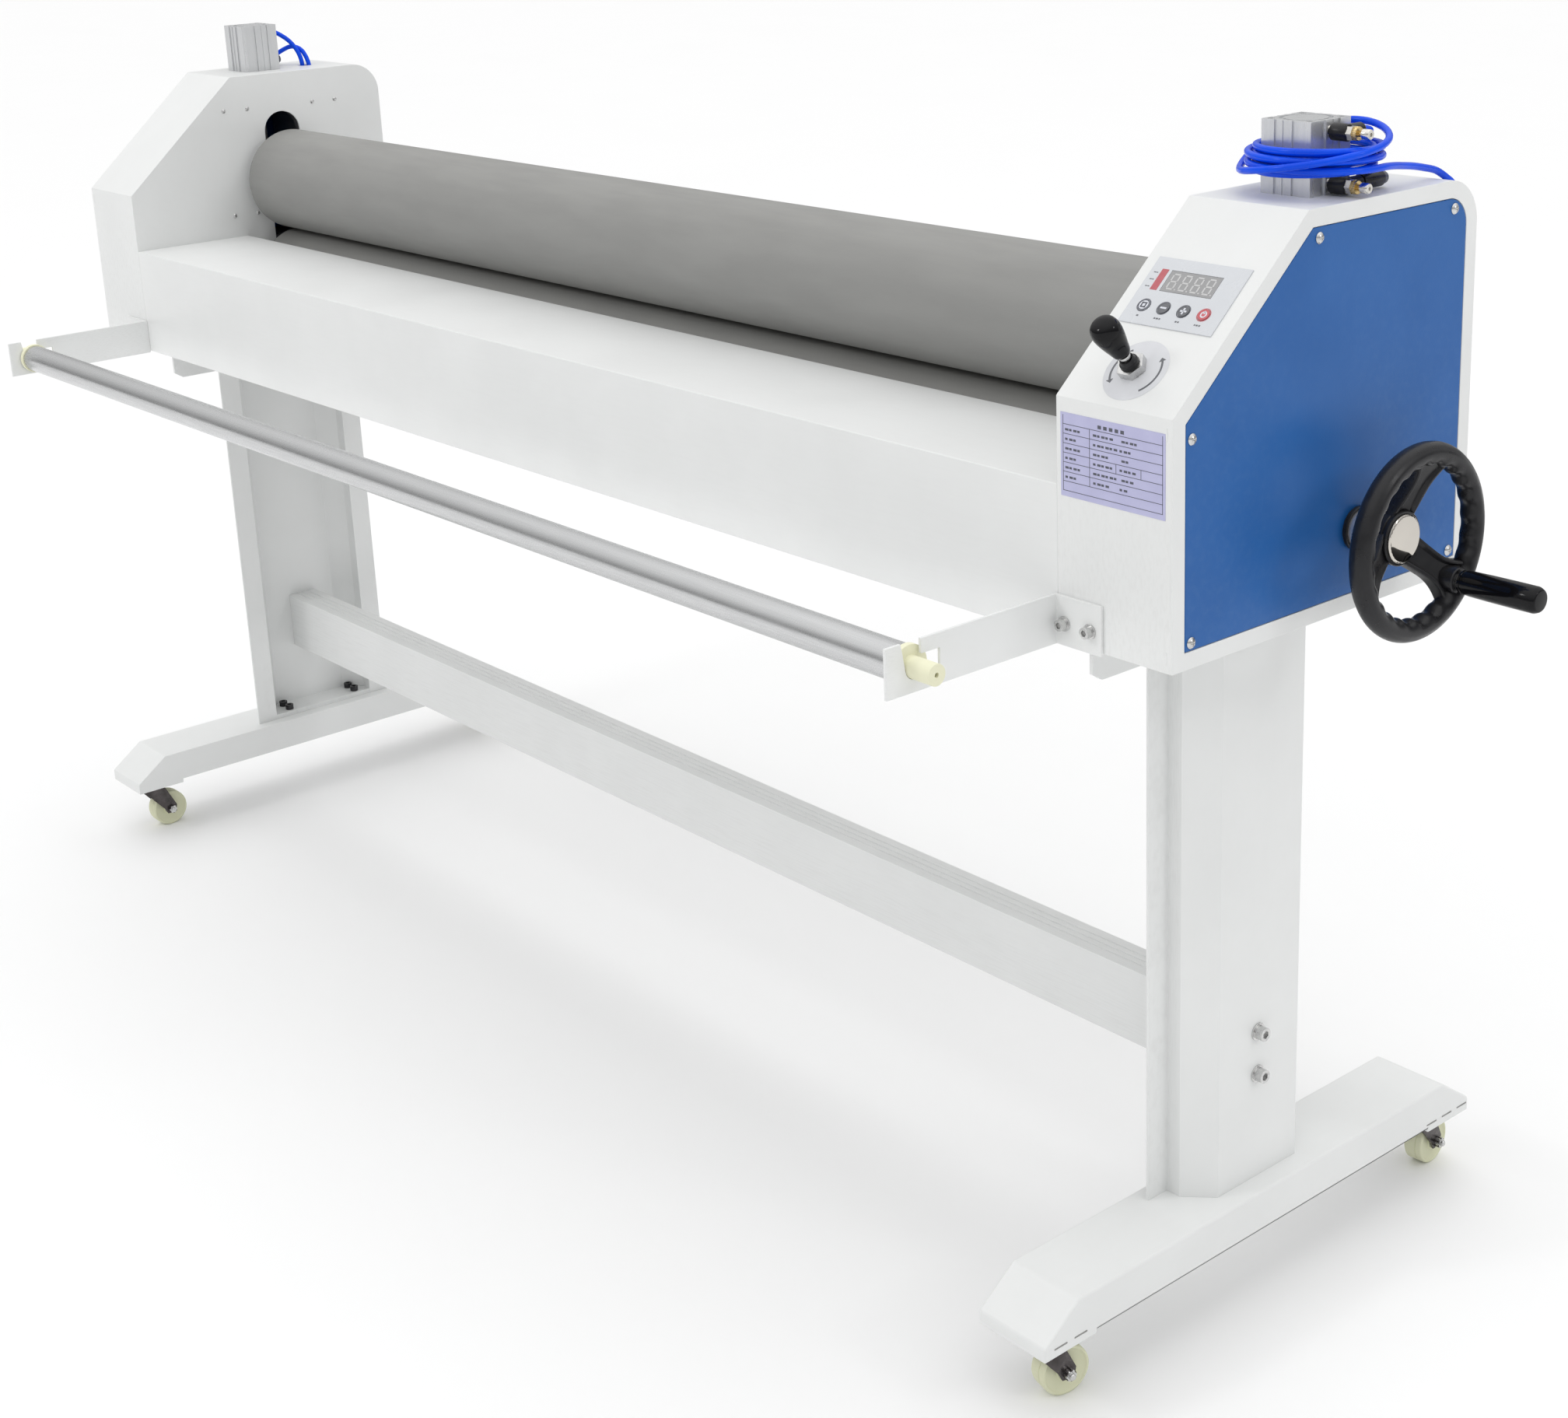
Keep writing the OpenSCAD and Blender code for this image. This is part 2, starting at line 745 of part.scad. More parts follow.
module idler_bracket(s) {
  seat_r = stub_d / 2 + 0.3;
  color("whitesmoke") side(s) {
    along_x(inner_x - 2, bracket_t) polygon(concat(
      [[front_y, bracket_low], [front_y, bracket_high], [-348, bracket_high], [-348, 695.5]],
      [[-328.6, 695.5], [-328.6, 682], [-346, 676.7]],
      [for (a = [270:-16:190]) [idler_y + seat_r * cos(a), idler_z + seat_r * sin(a)]],
      [[-368.5, bracket_high], [bracket_tip, bracket_high], [bracket_tip, bracket_low]]
    ));
    span([inner_x - 2, front_y - bracket_t, bracket_low], [885, front_y, bracket_high]);
  }
}

module idler_tube() {
  half = inner_x - 10;
  color("silver") difference() {
    rod_x(idler_d, -half, half, idler_y, idler_z);
    rod_x(idler_d - 4, -half - 1, half + 1, idler_y, idler_z);
  }
}

module idler_plugs() {
  x0 = inner_x - 10;
  color("ivory") for (s = [-1, 1]) side(s) {
    rod_x(idler_d - 4, x0 - 25, x0, idler_y, idler_z);
    rod_x(35, x0, x0 + 6, idler_y, idler_z);
    difference() {
      rod_x(stub_d, x0 + 5, 861, idler_y, idler_z);
      rod_x(4, 851, 862, idler_y, idler_z);
    }
  }
}

// ---------- casters ----------

module caster_plates() {
  color("silver") for (sx = [-1, 1], sy = [-1, 1])
    translate([sx * foot_x, sy * caster_y, 0]) {
      translate([-25, -25, caster_h - 2.5]) cube([50, 50, 2.5]);
      translate([0, 0, caster_h - 9]) cylinder(d = 14, h = 8);
    }
}

// places a caster's swivelling parts; local +Y is the trailing side
module at_caster(sx, sy, yaw) {
  translate([sx * foot_x, sy * caster_y, 0]) rotate([0, 0, yaw]) children();
}

module fork() {
  gap = wheel_w / 2 + 1.5;
  color("darkgray") {
    difference() {
      translate([0, 0, caster_h - 10]) cylinder(d = 36, h = 7);
      translate([0, 0, caster_h - 11]) cylinder(d = 14.16, h = 9);
    }
    for (e = [-1, 1])
      translate([e > 0 ? gap : -gap - 2, 0, 0]) rotate([90, 0, 90]) linear_extrude(2) polygon([
        [-15, caster_h - 9.5], [15, caster_h - 9.5], [trail + 8, wheel_d / 2 + 4],
        [trail + 6, wheel_d / 2 - 6], [trail - 6, wheel_d / 2 - 6], [trail - 10, wheel_d / 2 + 2]
      ]);
    rod_x(axle_d, -gap - 3, gap + 3, trail, wheel_d / 2);
    for (e = [-1, 1])
      translate([e * (gap + 2), trail, wheel_d / 2]) rotate([0, 90 * e, 0]) cylinder(d = 11, h = 5, $fn = 6);
    rod_x(axle_d, gap + 6, gap + 9, trail, wheel_d / 2);
  }
}

module caster_wheel() {
  color("ivory") translate([-wheel_w / 2, trail, wheel_d / 2]) rotate([0, 90, 0]) difference() {
    rotate_extrude() polygon([
      [axle_d / 2 + fit, 0], [9, 0], [9, 1.5], [21, 1.5], [23.5, 0], [wheel_d / 2, 2],
      [wheel_d / 2, wheel_w - 2], [23.5, wheel_w], [21, wheel_w - 1.5], [9, wheel_w - 1.5],
      [9, wheel_w], [axle_d / 2 + fit, wheel_w]
    ]);
  }
}

// ---------- assembly ----------

foot(-1);  // left_foot
foot(1);  // right_foot
leg(-1);  // left_leg
leg(1);  // right_leg
leg_base_bolts();
crossbar();
frame_cap_screws();
housing(-1);  // left_housing
housing(1);  // right_housing
side_cover(-1);  // left_side_cover
side_cover(1);  // right_side_cover
housing_screws();
side_plate(-1);  // left_side_plate
side_plate(1);  // right_side_plate
front_beam();
rear_beam();
slide_guides();
bearing_block(-1);  // left_bearing_block
bearing_block(1);  // right_bearing_block
top_roller_shaft();
top_roller_rubber();
drive_roller_shaft();
drive_roller_rubber();
drive_bearings();
gear_motor();
air_cylinder(-1);  // left_air_cylinder
air_cylinder(1);  // right_air_cylinder
piston_rods();
air_fittings();
hose_coil();
hose_tail();
left_air_tubes();
valve_body();
valve_nut();
valve_lever();
valve_knob();
control_panel();
display_window();
set_button();
minus_button();
plus_button();
power_button();
power_inlet();
handwheel();
hub_cap();
crank_spindle();
crank_grip();
idler_bracket(-1);  // left_idler_bracket
idler_bracket(1);  // right_idler_bracket
idler_tube();
idler_plugs();
caster_plates();
at_caster(-1, -1, yaw_front_left) fork();  // front_left_fork
at_caster(1, -1, yaw_front_right) fork();  // front_right_fork
at_caster(-1, 1, yaw_rear_left) fork();  // rear_left_fork
at_caster(1, 1, yaw_rear_right) fork();  // rear_right_fork
at_caster(-1, -1, yaw_front_left) caster_wheel();  // front_left_wheel
at_caster(1, -1, yaw_front_right) caster_wheel();  // front_right_wheel
at_caster(-1, 1, yaw_rear_left) caster_wheel();  // rear_left_wheel
at_caster(1, 1, yaw_rear_right) caster_wheel();  // rear_right_wheel
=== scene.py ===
"""Cold roll laminator: finishes, small fittings, air hoses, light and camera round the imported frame."""
import logging
import math
from dataclasses import dataclass, field, replace
from enum import Enum
from functools import cache
from typing import Callable, Iterable, Sequence

import bmesh
import bpy
from mathutils import Matrix, Vector


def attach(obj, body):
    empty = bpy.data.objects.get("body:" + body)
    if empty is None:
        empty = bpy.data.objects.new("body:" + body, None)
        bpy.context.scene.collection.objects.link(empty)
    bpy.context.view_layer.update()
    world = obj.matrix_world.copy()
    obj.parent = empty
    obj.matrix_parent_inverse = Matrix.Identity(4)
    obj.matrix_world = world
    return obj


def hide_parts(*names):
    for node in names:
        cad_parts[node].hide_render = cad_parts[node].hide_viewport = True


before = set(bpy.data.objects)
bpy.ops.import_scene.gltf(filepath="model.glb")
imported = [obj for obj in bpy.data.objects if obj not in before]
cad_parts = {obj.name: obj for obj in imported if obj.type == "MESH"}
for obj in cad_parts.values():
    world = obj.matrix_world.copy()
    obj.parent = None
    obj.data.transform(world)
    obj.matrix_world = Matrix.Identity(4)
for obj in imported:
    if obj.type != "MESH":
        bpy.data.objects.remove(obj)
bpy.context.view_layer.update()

logging.basicConfig(level=logging.INFO, format="%(levelname)s %(message)s")
LOG = logging.getLogger("laminator")

Colour = tuple[float, float, float]
Point = Sequence[float]
Outline = Sequence[tuple[float, float]]
Link = tuple[bpy.types.Node, str | int, bpy.types.Node, str | int]
MM = 0.001
AXIS_Y = 25.4  # both rollers, the air cylinders and the crank shaft, mm
DRIVE_Z = 738.0
TOP_Z = 869.0
FRONT_Y = -198.0
BACK_Y = 176.0
SLOPE_LOW_Z = 871.0
SLOPE = math.atan(137 / 155)
CASING_X = 957.0
FOOT_X = 866.0
CASTER_Y = 263.5
CASTERS = (("front_left", (-1, -1), 0.0), ("front_right", (1, -1), -13.0),
           ("rear_left", (-1, 1), 8.0), ("rear_right", (1, 1), 5.0))
PORT_X = 932.0  # where a hose goes into a fitting of the right cylinder; the left one's is its mirror
PORT_Y = 51.4
PORT_LOW_Z = 1016.0
PORT_HIGH_Z = 1058.0
ACROSS = Vector((1, 0, 0))
UP = Vector((0, 0, 1))
UP_SLOPE = Vector((0, math.cos(SLOPE), math.sin(SLOPE)))


class Axis(Enum):
    """Directions that a turned part may point in."""

    X = (1.0, 0.0, 0.0)
    X_BACK = (-1.0, 0.0, 0.0)
    Y = (0.0, 1.0, 0.0)
    Y_FRONT = (0.0, -1.0, 0.0)
    Z = (0.0, 0.0, 1.0)
    SLOPE_OUT = (0.0, -math.sin(SLOPE), math.cos(SLOPE))


class Side(Enum):
    """The two ends of the machine, as the sign of X."""

    LEFT = -1
    RIGHT = 1

    @property
    def word(self) -> str:
        """Returns the side's name for a piece."""
        return self.name.lower()


class KeyMark(Enum):
    """Plain symbols printed on the four keys."""

    SQUARE = "square"
    MINUS = "minus"
    PLUS = "plus"
    RING = "ring"


# ---------- shader node groups ----------


def add_node(tree: bpy.types.NodeTree, kind: str, values: dict | None = None,
             **settings: object) -> bpy.types.Node:
    """Adds a shader node.

    Args:
        tree: The tree that it goes in.
        kind: Its type, without the ShaderNode at the front.
        values: Input values by socket name.
        settings: Its attributes, which are set first.

    Returns:
        The node.
    """
    node = tree.nodes.new("ShaderNode" + kind)
    for name, value in settings.items():
        setattr(node, name, value)
    for name, value in (values or {}).items():
        node.inputs[name].default_value = value
    return node


def join(tree: bpy.types.NodeTree, *links: Link) -> None:
    """Links nodes, each link given as a node and its output, then a node and its input."""
    for source, output, target, entry in links:
        tree.links.new(source.outputs[output], target.inputs[entry])


class NodeGroups:
    """Shared surface effects, each built on first use."""

    @staticmethod
    def _new(name: str, output: str, inputs: dict[str, float | tuple]) -> tuple:
        """Makes an empty group with its sockets.

        Args:
            name: The group's name.
            output: Name of its output; Color is a colour, anything else a number.
            inputs: Default of each input: a number, a vector of 3 or a colour of 4.

        Returns:
            The tree, its input node and its output node.
        """
        tree = bpy.data.node_groups.new(name, "ShaderNodeTree")
        kinds = {1: "NodeSocketFloat", 3: "NodeSocketVector", 4: "NodeSocketColor"}
        for label, value in inputs.items():
            kind = kinds[len(value) if isinstance(value, tuple) else 1]
            tree.interface.new_socket(name=label, in_out="INPUT", socket_type=kind).default_value = value
        kind = kinds[4 if output == "Color" else 1]
        tree.interface.new_socket(name=output, in_out="OUTPUT", socket_type=kind)
        return tree, tree.nodes.new("NodeGroupInput"), tree.nodes.new("NodeGroupOutput")

    @staticmethod
    @cache
    def grain() -> bpy.types.NodeTree:
        """Returns the group for a fine grain or brushed lines: a stretched noise from 0 to 1."""
        tree, inp, out = NodeGroups._new("surface_grain", "Grain", {
            "Scale": 200.0, "Stretch": (1.0, 1.0, 1.0), "Low": 0.35, "High": 0.65})
        coords = add_node(tree, "TexCoord")
        stretch = add_node(tree, "VectorMath", operation="MULTIPLY")
        noise = add_node(tree, "TexNoise", {"Detail": 4.0})
        levels = add_node(tree, "MapRange")
        join(tree, (coords, "Object", stretch, 0), (inp, "Stretch", stretch, 1),
             (stretch, 0, noise, "Vector"), (inp, "Scale", noise, "Scale"), (noise, "Fac", levels, "Value"),
             (inp, "Low", levels, "From Min"), (inp, "High", levels, "From Max"),
             (levels, "Result", out, "Grain"))
        return tree

    @staticmethod
    @cache
    def edge_wear() -> bpy.types.NodeTree:
        """Returns the group for rubbed edges: a mask from pointiness, broken up by noise."""
        tree, inp, out = NodeGroups._new("edge_wear", "Mask", {"Amount": 0.3, "Breakup": 40.0})
        geometry = add_node(tree, "NewGeometry")
        edge = add_node(tree, "MapRange", {"From Min": 0.53, "From Max": 0.62})
        noise = add_node(tree, "TexNoise", {"Detail": 6.0})
        chips = add_node(tree, "MapRange", {"From Min": 0.45, "From Max": 0.7})
        broken = add_node(tree, "Math", operation="MULTIPLY")
        amount = add_node(tree, "Math", operation="MULTIPLY", use_clamp=True)
        join(tree, (geometry, "Pointiness", edge, "Value"), (inp, "Breakup", noise, "Scale"),
             (noise, "Fac", chips, "Value"), (edge, "Result", broken, 0), (chips, "Result", broken, 1),
             (broken, "Value", amount, 0), (inp, "Amount", amount, 1), (amount, "Value", out, "Mask"))
        return tree

    @staticmethod
    @cache
    def dust() -> bpy.types.NodeTree:
        """Returns the group for settled dust: a mask on faces that look up."""
        tree, inp, out = NodeGroups._new("settled_dust", "Mask", {"Amount": 0.1, "Patch Scale": 14.0})
        geometry = add_node(tree, "NewGeometry")
        parts = add_node(tree, "SeparateXYZ")
        upward = add_node(tree, "MapRange", {"From Min": 0.3})
        noise = add_node(tree, "TexNoise", {"Detail": 8.0})
        patchy = add_node(tree, "Math", operation="MULTIPLY")
        amount = add_node(tree, "Math", operation="MULTIPLY", use_clamp=True)
        join(tree, (geometry, "Normal", parts, "Vector"), (parts, "Z", upward, "Value"),
             (inp, "Patch Scale", noise, "Scale"), (upward, "Result", patchy, 0), (noise, "Fac", patchy, 1),
             (patchy, "Value", amount, 0), (inp, "Amount", amount, 1), (amount, "Value", out, "Mask"))
        return tree

    @staticmethod
    @cache
    def layered_colour() -> bpy.types.NodeTree:
        """Returns the group that mixes base, grain shade, worn edge and dust colours by their masks."""
        colours = ["Base", "Shade", "Worn", "Dust"]
        masks = ["Grain", "Wear Mask", "Dust Mask"]
        tree, inp, out = NodeGroups._new("layered_colour", "Color", {
            **dict.fromkeys(colours, (0.5, 0.5, 0.5, 1.0)), **dict.fromkeys(masks, 0.0)})
        last, last_output = inp, "Base"
        for top, mask in zip(colours[1:], masks):
            mix = add_node(tree, "Mix", data_type="RGBA")
            join(tree, (inp, mask, mix, 0), (last, last_output, mix, 6), (inp, top, mix, 7))
            last, last_output = mix, 2
        join(tree, (last, last_output, out, "Color"))
        return tree

    @staticmethod
    @cache
    def spread_value() -> bpy.types.NodeTree:
        """Returns the group that spreads a value, such as roughness, up and down by a mask."""
        tree, inp, out = NodeGroups._new("spread_value", "Value", {"Low": 0.3, "High": 0.5, "Mask": 0.5})
        levels = add_node(tree, "MapRange")
        join(tree, (inp, "Mask", levels, "Value"), (inp, "Low", levels, "To Min"),
             (inp, "High", levels, "To Max"), (levels, "Result", out, "Value"))
        return tree


DUST_GREY: Colour = (0.62, 0.60, 0.56)


@dataclass(frozen=True)
class Finish:
    """One surface finish; colours are linear light values."""

    label: str
    base: Colour
    shade: Colour
    worn: Colour
    rough_low: float
    rough_high: float
    metallic: float = 0.0
    grain_scale: float = 60.0
    stretch: Colour = (1.0, 1.0, 1.0)
    bump_scale: float = 900.0
    bump_height: float = 0.0001
    bump_strength: float = 0.25
    wear: float = 0.25
    dust: float = 0.08
    coat: float = 0.0
    coat_rough: float = 0.1
    specular: float = 0.5

    def material(self) -> bpy.types.Material:
        """Returns this finish's material, built on first use."""
        known = bpy.data.materials.get(self.label)
        if known:
            return known
        mat = bpy.data.materials.new(self.label)
        mat.use_nodes = True
        tree = mat.node_tree
        shader = tree.nodes["Principled BSDF"]
        grain = add_node(tree, "Group", {"Scale": self.grain_scale, "Stretch": self.stretch},
                         node_tree=NodeGroups.grain())
        wear = add_node(tree, "Group", {"Amount": self.wear}, node_tree=NodeGroups.edge_wear())
        dust = add_node(tree, "Group", {"Amount": self.dust}, node_tree=NodeGroups.dust())
        colour = add_node(tree, "Group", {
            "Base": (*self.base, 1.0), "Shade": (*self.shade, 1.0), "Worn": (*self.worn, 1.0),
            "Dust": (*DUST_GREY, 1.0)}, node_tree=NodeGroups.layered_colour())
        rough = add_node(tree, "Group", {"Low": self.rough_low, "High": self.rough_high},
                         node_tree=NodeGroups.spread_value())
        fine = add_node(tree, "Group", {
            "Scale": self.bump_scale, "Stretch": self.stretch, "Low": 0.2, "High": 0.8},
            node_tree=NodeGroups.grain())
        bump = add_node(tree, "Bump", {"Strength": self.bump_strength, "Distance": self.bump_height})
        join(tree, (grain, "Grain", colour, "Grain"), (wear, "Mask", colour, "Wear Mask"),
             (dust, "Mask", colour, "Dust Mask"), (colour, "Color", shader, "Base Color"),
             (grain, "Grain", rough, "Mask"), (rough, "Value", shader, "Roughness"),
             (fine, "Grain", bump, "Height"), (bump, "Normal", shader, "Normal"))
        shader.inputs["Metallic"].default_value = self.metallic
        shader.inputs["Coat Weight"].default_value = self.coat
        shader.inputs["Coat Roughness"].default_value = self.coat_rough
        shader.inputs["Specular IOR Level"].default_value = self.specular
        mat.diffuse_color = (*self.base, 1.0)
        return mat


WHITE_PAINT = Finish(
    "white_powder_coat", (0.815, 0.825, 0.82), (0.79, 0.80, 0.795), (0.62, 0.62, 0.61), 0.32, 0.42,
    grain_scale=9, bump_scale=420, bump_strength=0.3, wear=0.2, dust=0.06)
BLUE_PAINT = Finish(
    "blue_powder_coat", (0.014, 0.118, 0.39), (0.012, 0.108, 0.365), (0.2, 0.32, 0.5), 0.34, 0.44,
    grain_scale=12, bump_scale=420, bump_strength=0.35, dust=0.02, specular=0.35)
RUBBER = Finish(
    "roller_rubber_grey", (0.285, 0.285, 0.276), (0.268, 0.268, 0.26), (0.34, 0.34, 0.33), 0.62, 0.76,
    grain_scale=35, stretch=(0.25, 1.0, 1.0), bump_scale=1500, bump_strength=0.5, dust=0.12, specular=0.35)
GROUND_STEEL = Finish(
    "ground_steel", (0.62, 0.62, 0.63), (0.52, 0.52, 0.53), (0.7, 0.7, 0.7), 0.2, 0.34, 1.0,
    grain_scale=300, stretch=(12.0, 1.0, 1.0), bump_scale=700, dust=0.04)
STEEL_PLATE = Finish(
    "steel_plate", (0.44, 0.44, 0.45), (0.35, 0.35, 0.36), (0.6, 0.6, 0.6), 0.32, 0.5, 1.0, grain_scale=90,
    stretch=(1.0, 1.0, 8.0), dust=0.1)
CAST_GREY = Finish(
    "painted_casting", (0.13, 0.135, 0.145), (0.10, 0.105, 0.115), (0.3, 0.3, 0.3), 0.5, 0.65,
    bump_scale=260, bump_height=0.0004, bump_strength=0.5)
ALUMINIUM = Finish(
    "satin_anodised_aluminium", (0.60, 0.605, 0.61), (0.56, 0.565, 0.57), (0.7, 0.7, 0.7), 0.24, 0.32, 1.0,
    grain_scale=900, stretch=(0.03, 1.0, 1.0), bump_scale=1400, bump_strength=0.1, dust=0.02)
UPRIGHT_ALUMINIUM = Finish(
    "satin_anodised_extrusion", (0.66, 0.67, 0.68), (0.62, 0.63, 0.64), (0.72, 0.72, 0.72), 0.27, 0.33, 0.6,
    grain_scale=130, stretch=(1.0, 1.0, 0.03), bump_scale=500, bump_strength=0.03, dust=0.03)
BLACK_PLASTIC = Finish(
    "satin_black_plastic", (0.010, 0.010, 0.012), (0.014, 0.014, 0.016), (0.05, 0.05, 0.05), 0.26, 0.38,
    grain_scale=80, bump_scale=650, bump_strength=0.3, dust=0.02, specular=0.32)
GLOSS_BLACK = Finish(
    "polished_black_plastic", (0.004, 0.004, 0.005), (0.006, 0.006, 0.007), (0.03, 0.03, 0.03), 0.05, 0.09,
    grain_scale=30, bump_strength=0.03, wear=0.05, dust=0.0, specular=0.2)
BLACK_OXIDE = Finish(
    "black_oxide_steel", (0.03, 0.03, 0.033), (0.045, 0.045, 0.048), (0.25, 0.25, 0.25), 0.3, 0.45, 0.7,
    grain_scale=160)
BRIGHT_ZINC = Finish(
    "bright_zinc_screws", (0.66, 0.66, 0.65), (0.55, 0.55, 0.55), (0.75, 0.75, 0.74), 0.16, 0.3, 1.0,
    grain_scale=220, dust=0.04)
DARK_ZINC = Finish(
    "zinc_plated_pressing", (0.115, 0.105, 0.105), (0.075, 0.068, 0.068), (0.55, 0.55, 0.54), 0.26, 0.42,
    1.0, grain_scale=75, bump_scale=300, dust=0.12)
CHROME = Finish(
    "mirror_chrome", (0.60, 0.57, 0.52), (0.54, 0.51, 0.47), (0.9, 0.9, 0.9), 0.03, 0.07, 1.0,
    grain_scale=12, bump_strength=0.03, wear=0.0, dust=0.02)
NICKEL = Finish(
    "nickel_plate", (0.70, 0.68, 0.64), (0.60, 0.58, 0.54), (0.78, 0.76, 0.7), 0.14, 0.28, 1.0,
    grain_scale=260, dust=0.03)
BRASS = Finish(
    "turned_brass", (0.66, 0.50, 0.24), (0.52, 0.38, 0.17), (0.75, 0.6, 0.32), 0.2, 0.34, 1.0,
    grain_scale=280, dust=0.03)
BLUE_TUBE = Finish(
    "blue_polyurethane_tube", (0.0, 0.080, 0.84), (0.0, 0.065, 0.74), (0.02, 0.14, 0.9), 0.20, 0.28,
    grain_scale=18, bump_strength=0.06, wear=0.03, dust=0.0, specular=0.22)
CREAM_NYLON = Finish(
    "cream_nylon", (0.80, 0.79, 0.50), (0.74, 0.73, 0.45), (0.85, 0.84, 0.6), 0.34, 0.46, grain_scale=120,
    stretch=(9.0, 1.0, 1.0), dust=0.05)
CASTER_NYLON = Finish(
    "caster_nylon", (0.58, 0.60, 0.35), (0.50, 0.515, 0.29), (0.66, 0.67, 0.45), 0.38, 0.52, grain_scale=90,
    bump_scale=500, dust=0.15)
PANEL_FILM = Finish(
    "printed_panel_film", (0.64, 0.66, 0.69), (0.63, 0.65, 0.68), (0.75, 0.78, 0.8), 0.24, 0.34,
    grain_scale=40, bump_scale=1600, bump_strength=0.2, wear=0.05, dust=0.03)
DISPLAY_FILM = Finish(
    "grey_display_window", (0.30, 0.30, 0.305), (0.28, 0.28, 0.285), (0.45, 0.45, 0.45), 0.08, 0.14,
    grain_scale=25, bump_strength=0.05, wear=0.0, coat=0.5, coat_rough=0.04, dust=0.03)
SEGMENTS = Finish(
    "unlit_segments", (0.56, 0.56, 0.56), (0.52, 0.52, 0.52), (0.6, 0.6, 0.6), 0.2, 0.3, grain_scale=60,
    wear=0.0)
PRINT_DARK = Finish(
    "dark_print_ink", (0.07, 0.075, 0.10), (0.09, 0.095, 0.12), (0.1, 0.1, 0.1), 0.4, 0.5, grain_scale=200,
    wear=0.0)
PRINT_RED = replace(
    PRINT_DARK, label="red_print_ink", base=(0.50, 0.10, 0.12), shade=(0.46, 0.09, 0.11),
    worn=(0.8, 0.2, 0.2), rough_low=0.3, rough_high=0.4)
KEY_WHITE = Finish(
    "white_key_film", (0.72, 0.74, 0.80), (0.68, 0.70, 0.76), (0.8, 0.8, 0.8), 0.25, 0.35, grain_scale=120,
    wear=0.05)
KEY_GREY = replace(
    KEY_WHITE, label="grey_key_film", base=(0.13, 0.135, 0.15), shade=(0.11, 0.115, 0.13),
    worn=(0.2, 0.2, 0.2))
KEY_RED = replace(
    KEY_WHITE, label="red_key_film", base=(0.62, 0.12, 0.14), shade=(0.56, 0.10, 0.12),
    worn=(0.6, 0.2, 0.2))
LABEL_FILM = Finish(
    "lavender_label_film", (0.50, 0.50, 0.72), (0.47, 0.47, 0.69), (0.6, 0.6, 0.75), 0.3, 0.4,
    grain_scale=50, wear=0.05)
DECAL_FILM = Finish(
    "pale_decal_film", (0.68, 0.69, 0.72), (0.64, 0.65, 0.68), (0.7, 0.7, 0.72), 0.3, 0.4, grain_scale=50,
    wear=0.05)
# Dark fill laid over the slots in the feet: painted shade for their hollows.
PAINTED_SLOT_SHADE = Finish(
    "shaded_weld_slots", (0.30, 0.30, 0.29), (0.22, 0.22, 0.21), (0.4, 0.4, 0.4), 0.5, 0.7, grain_scale=150,
    wear=0.0)
STUDIO_FLOOR = Finish(
    "pale_studio_floor", (0.93, 0.93, 0.93), (0.92, 0.92, 0.92), (0.9, 0.9, 0.9), 0.55, 0.65, grain_scale=2,
    bump_strength=0.02, wear=0.0, dust=0.0, specular=0.2)


# ---------- mesh building ----------


def direction_frame(axis: Vector) -> tuple[Vector, Vector]:
    """Finds two directions square to an axis.

    Args:
        axis: Unit vector.

    Returns:
        Two unit vectors that make a right-handed set with the axis.
    """
    helper = Vector((0, 0, 1)) if abs(axis.z) < 0.9 else Vector((1, 0, 0))
    u = helper.cross(axis).normalized()
    return u, axis.cross(u).normalized()


def on_slope(x: float, along: float, height: float = 0.0) -> Vector:
    """Gives a point on the sloping face of a housing.

    Args:
        x: Place along the machine, mm.
        along: Distance up the slope from its lower edge, mm.
        height: Distance out of the face, mm.

    Returns:
        The point, mm.
    """
    return Vector((x, FRONT_Y, SLOPE_LOW_Z)) + UP_SLOPE * along + Vector(Axis.SLOPE_OUT.value) * height


def arc(radius: float, first: float, last: float, sides: int) -> list[tuple[float, float]]:
    """Gives points evenly along an arc.

    Args:
        radius: Its radius, mm.
        first: Angle of the first point, degrees.
        last: Angle that the points stop short of, degrees.
        sides: Number of points.

    Returns:
        The points in the plane.
    """
    turns = [math.radians(first + (last - first) * k / sides) for k in range(sides)]
    return [(radius * math.cos(t), radius * math.sin(t)) for t in turns]


def circle(centre: Vector, axis: Vector, radii: Sequence[float]) -> list[Vector]:
    """Gives points evenly round an axis.

    Args:
        centre: The circle's centre.
        axis: Direction of the axis.
        radii: Radius of each point in turn.

    Returns:
        The points.
    """
    u, v = direction_frame(axis)
    turns = [math.tau * k / len(radii) for k in range(len(radii))]
    return [centre + (u * math.cos(t) + v * math.sin(t)) * r for t, r in zip(turns, radii)]


def put(name: str, data: bpy.types.ID) -> bpy.types.Object:
    """Makes an object of mesh, curve, lamp or camera data and puts it in the scene."""
    obj = bpy.data.objects.new(name, data)
    bpy.context.scene.collection.objects.link(obj)
    return obj


SHARP_ANGLE = 38.0


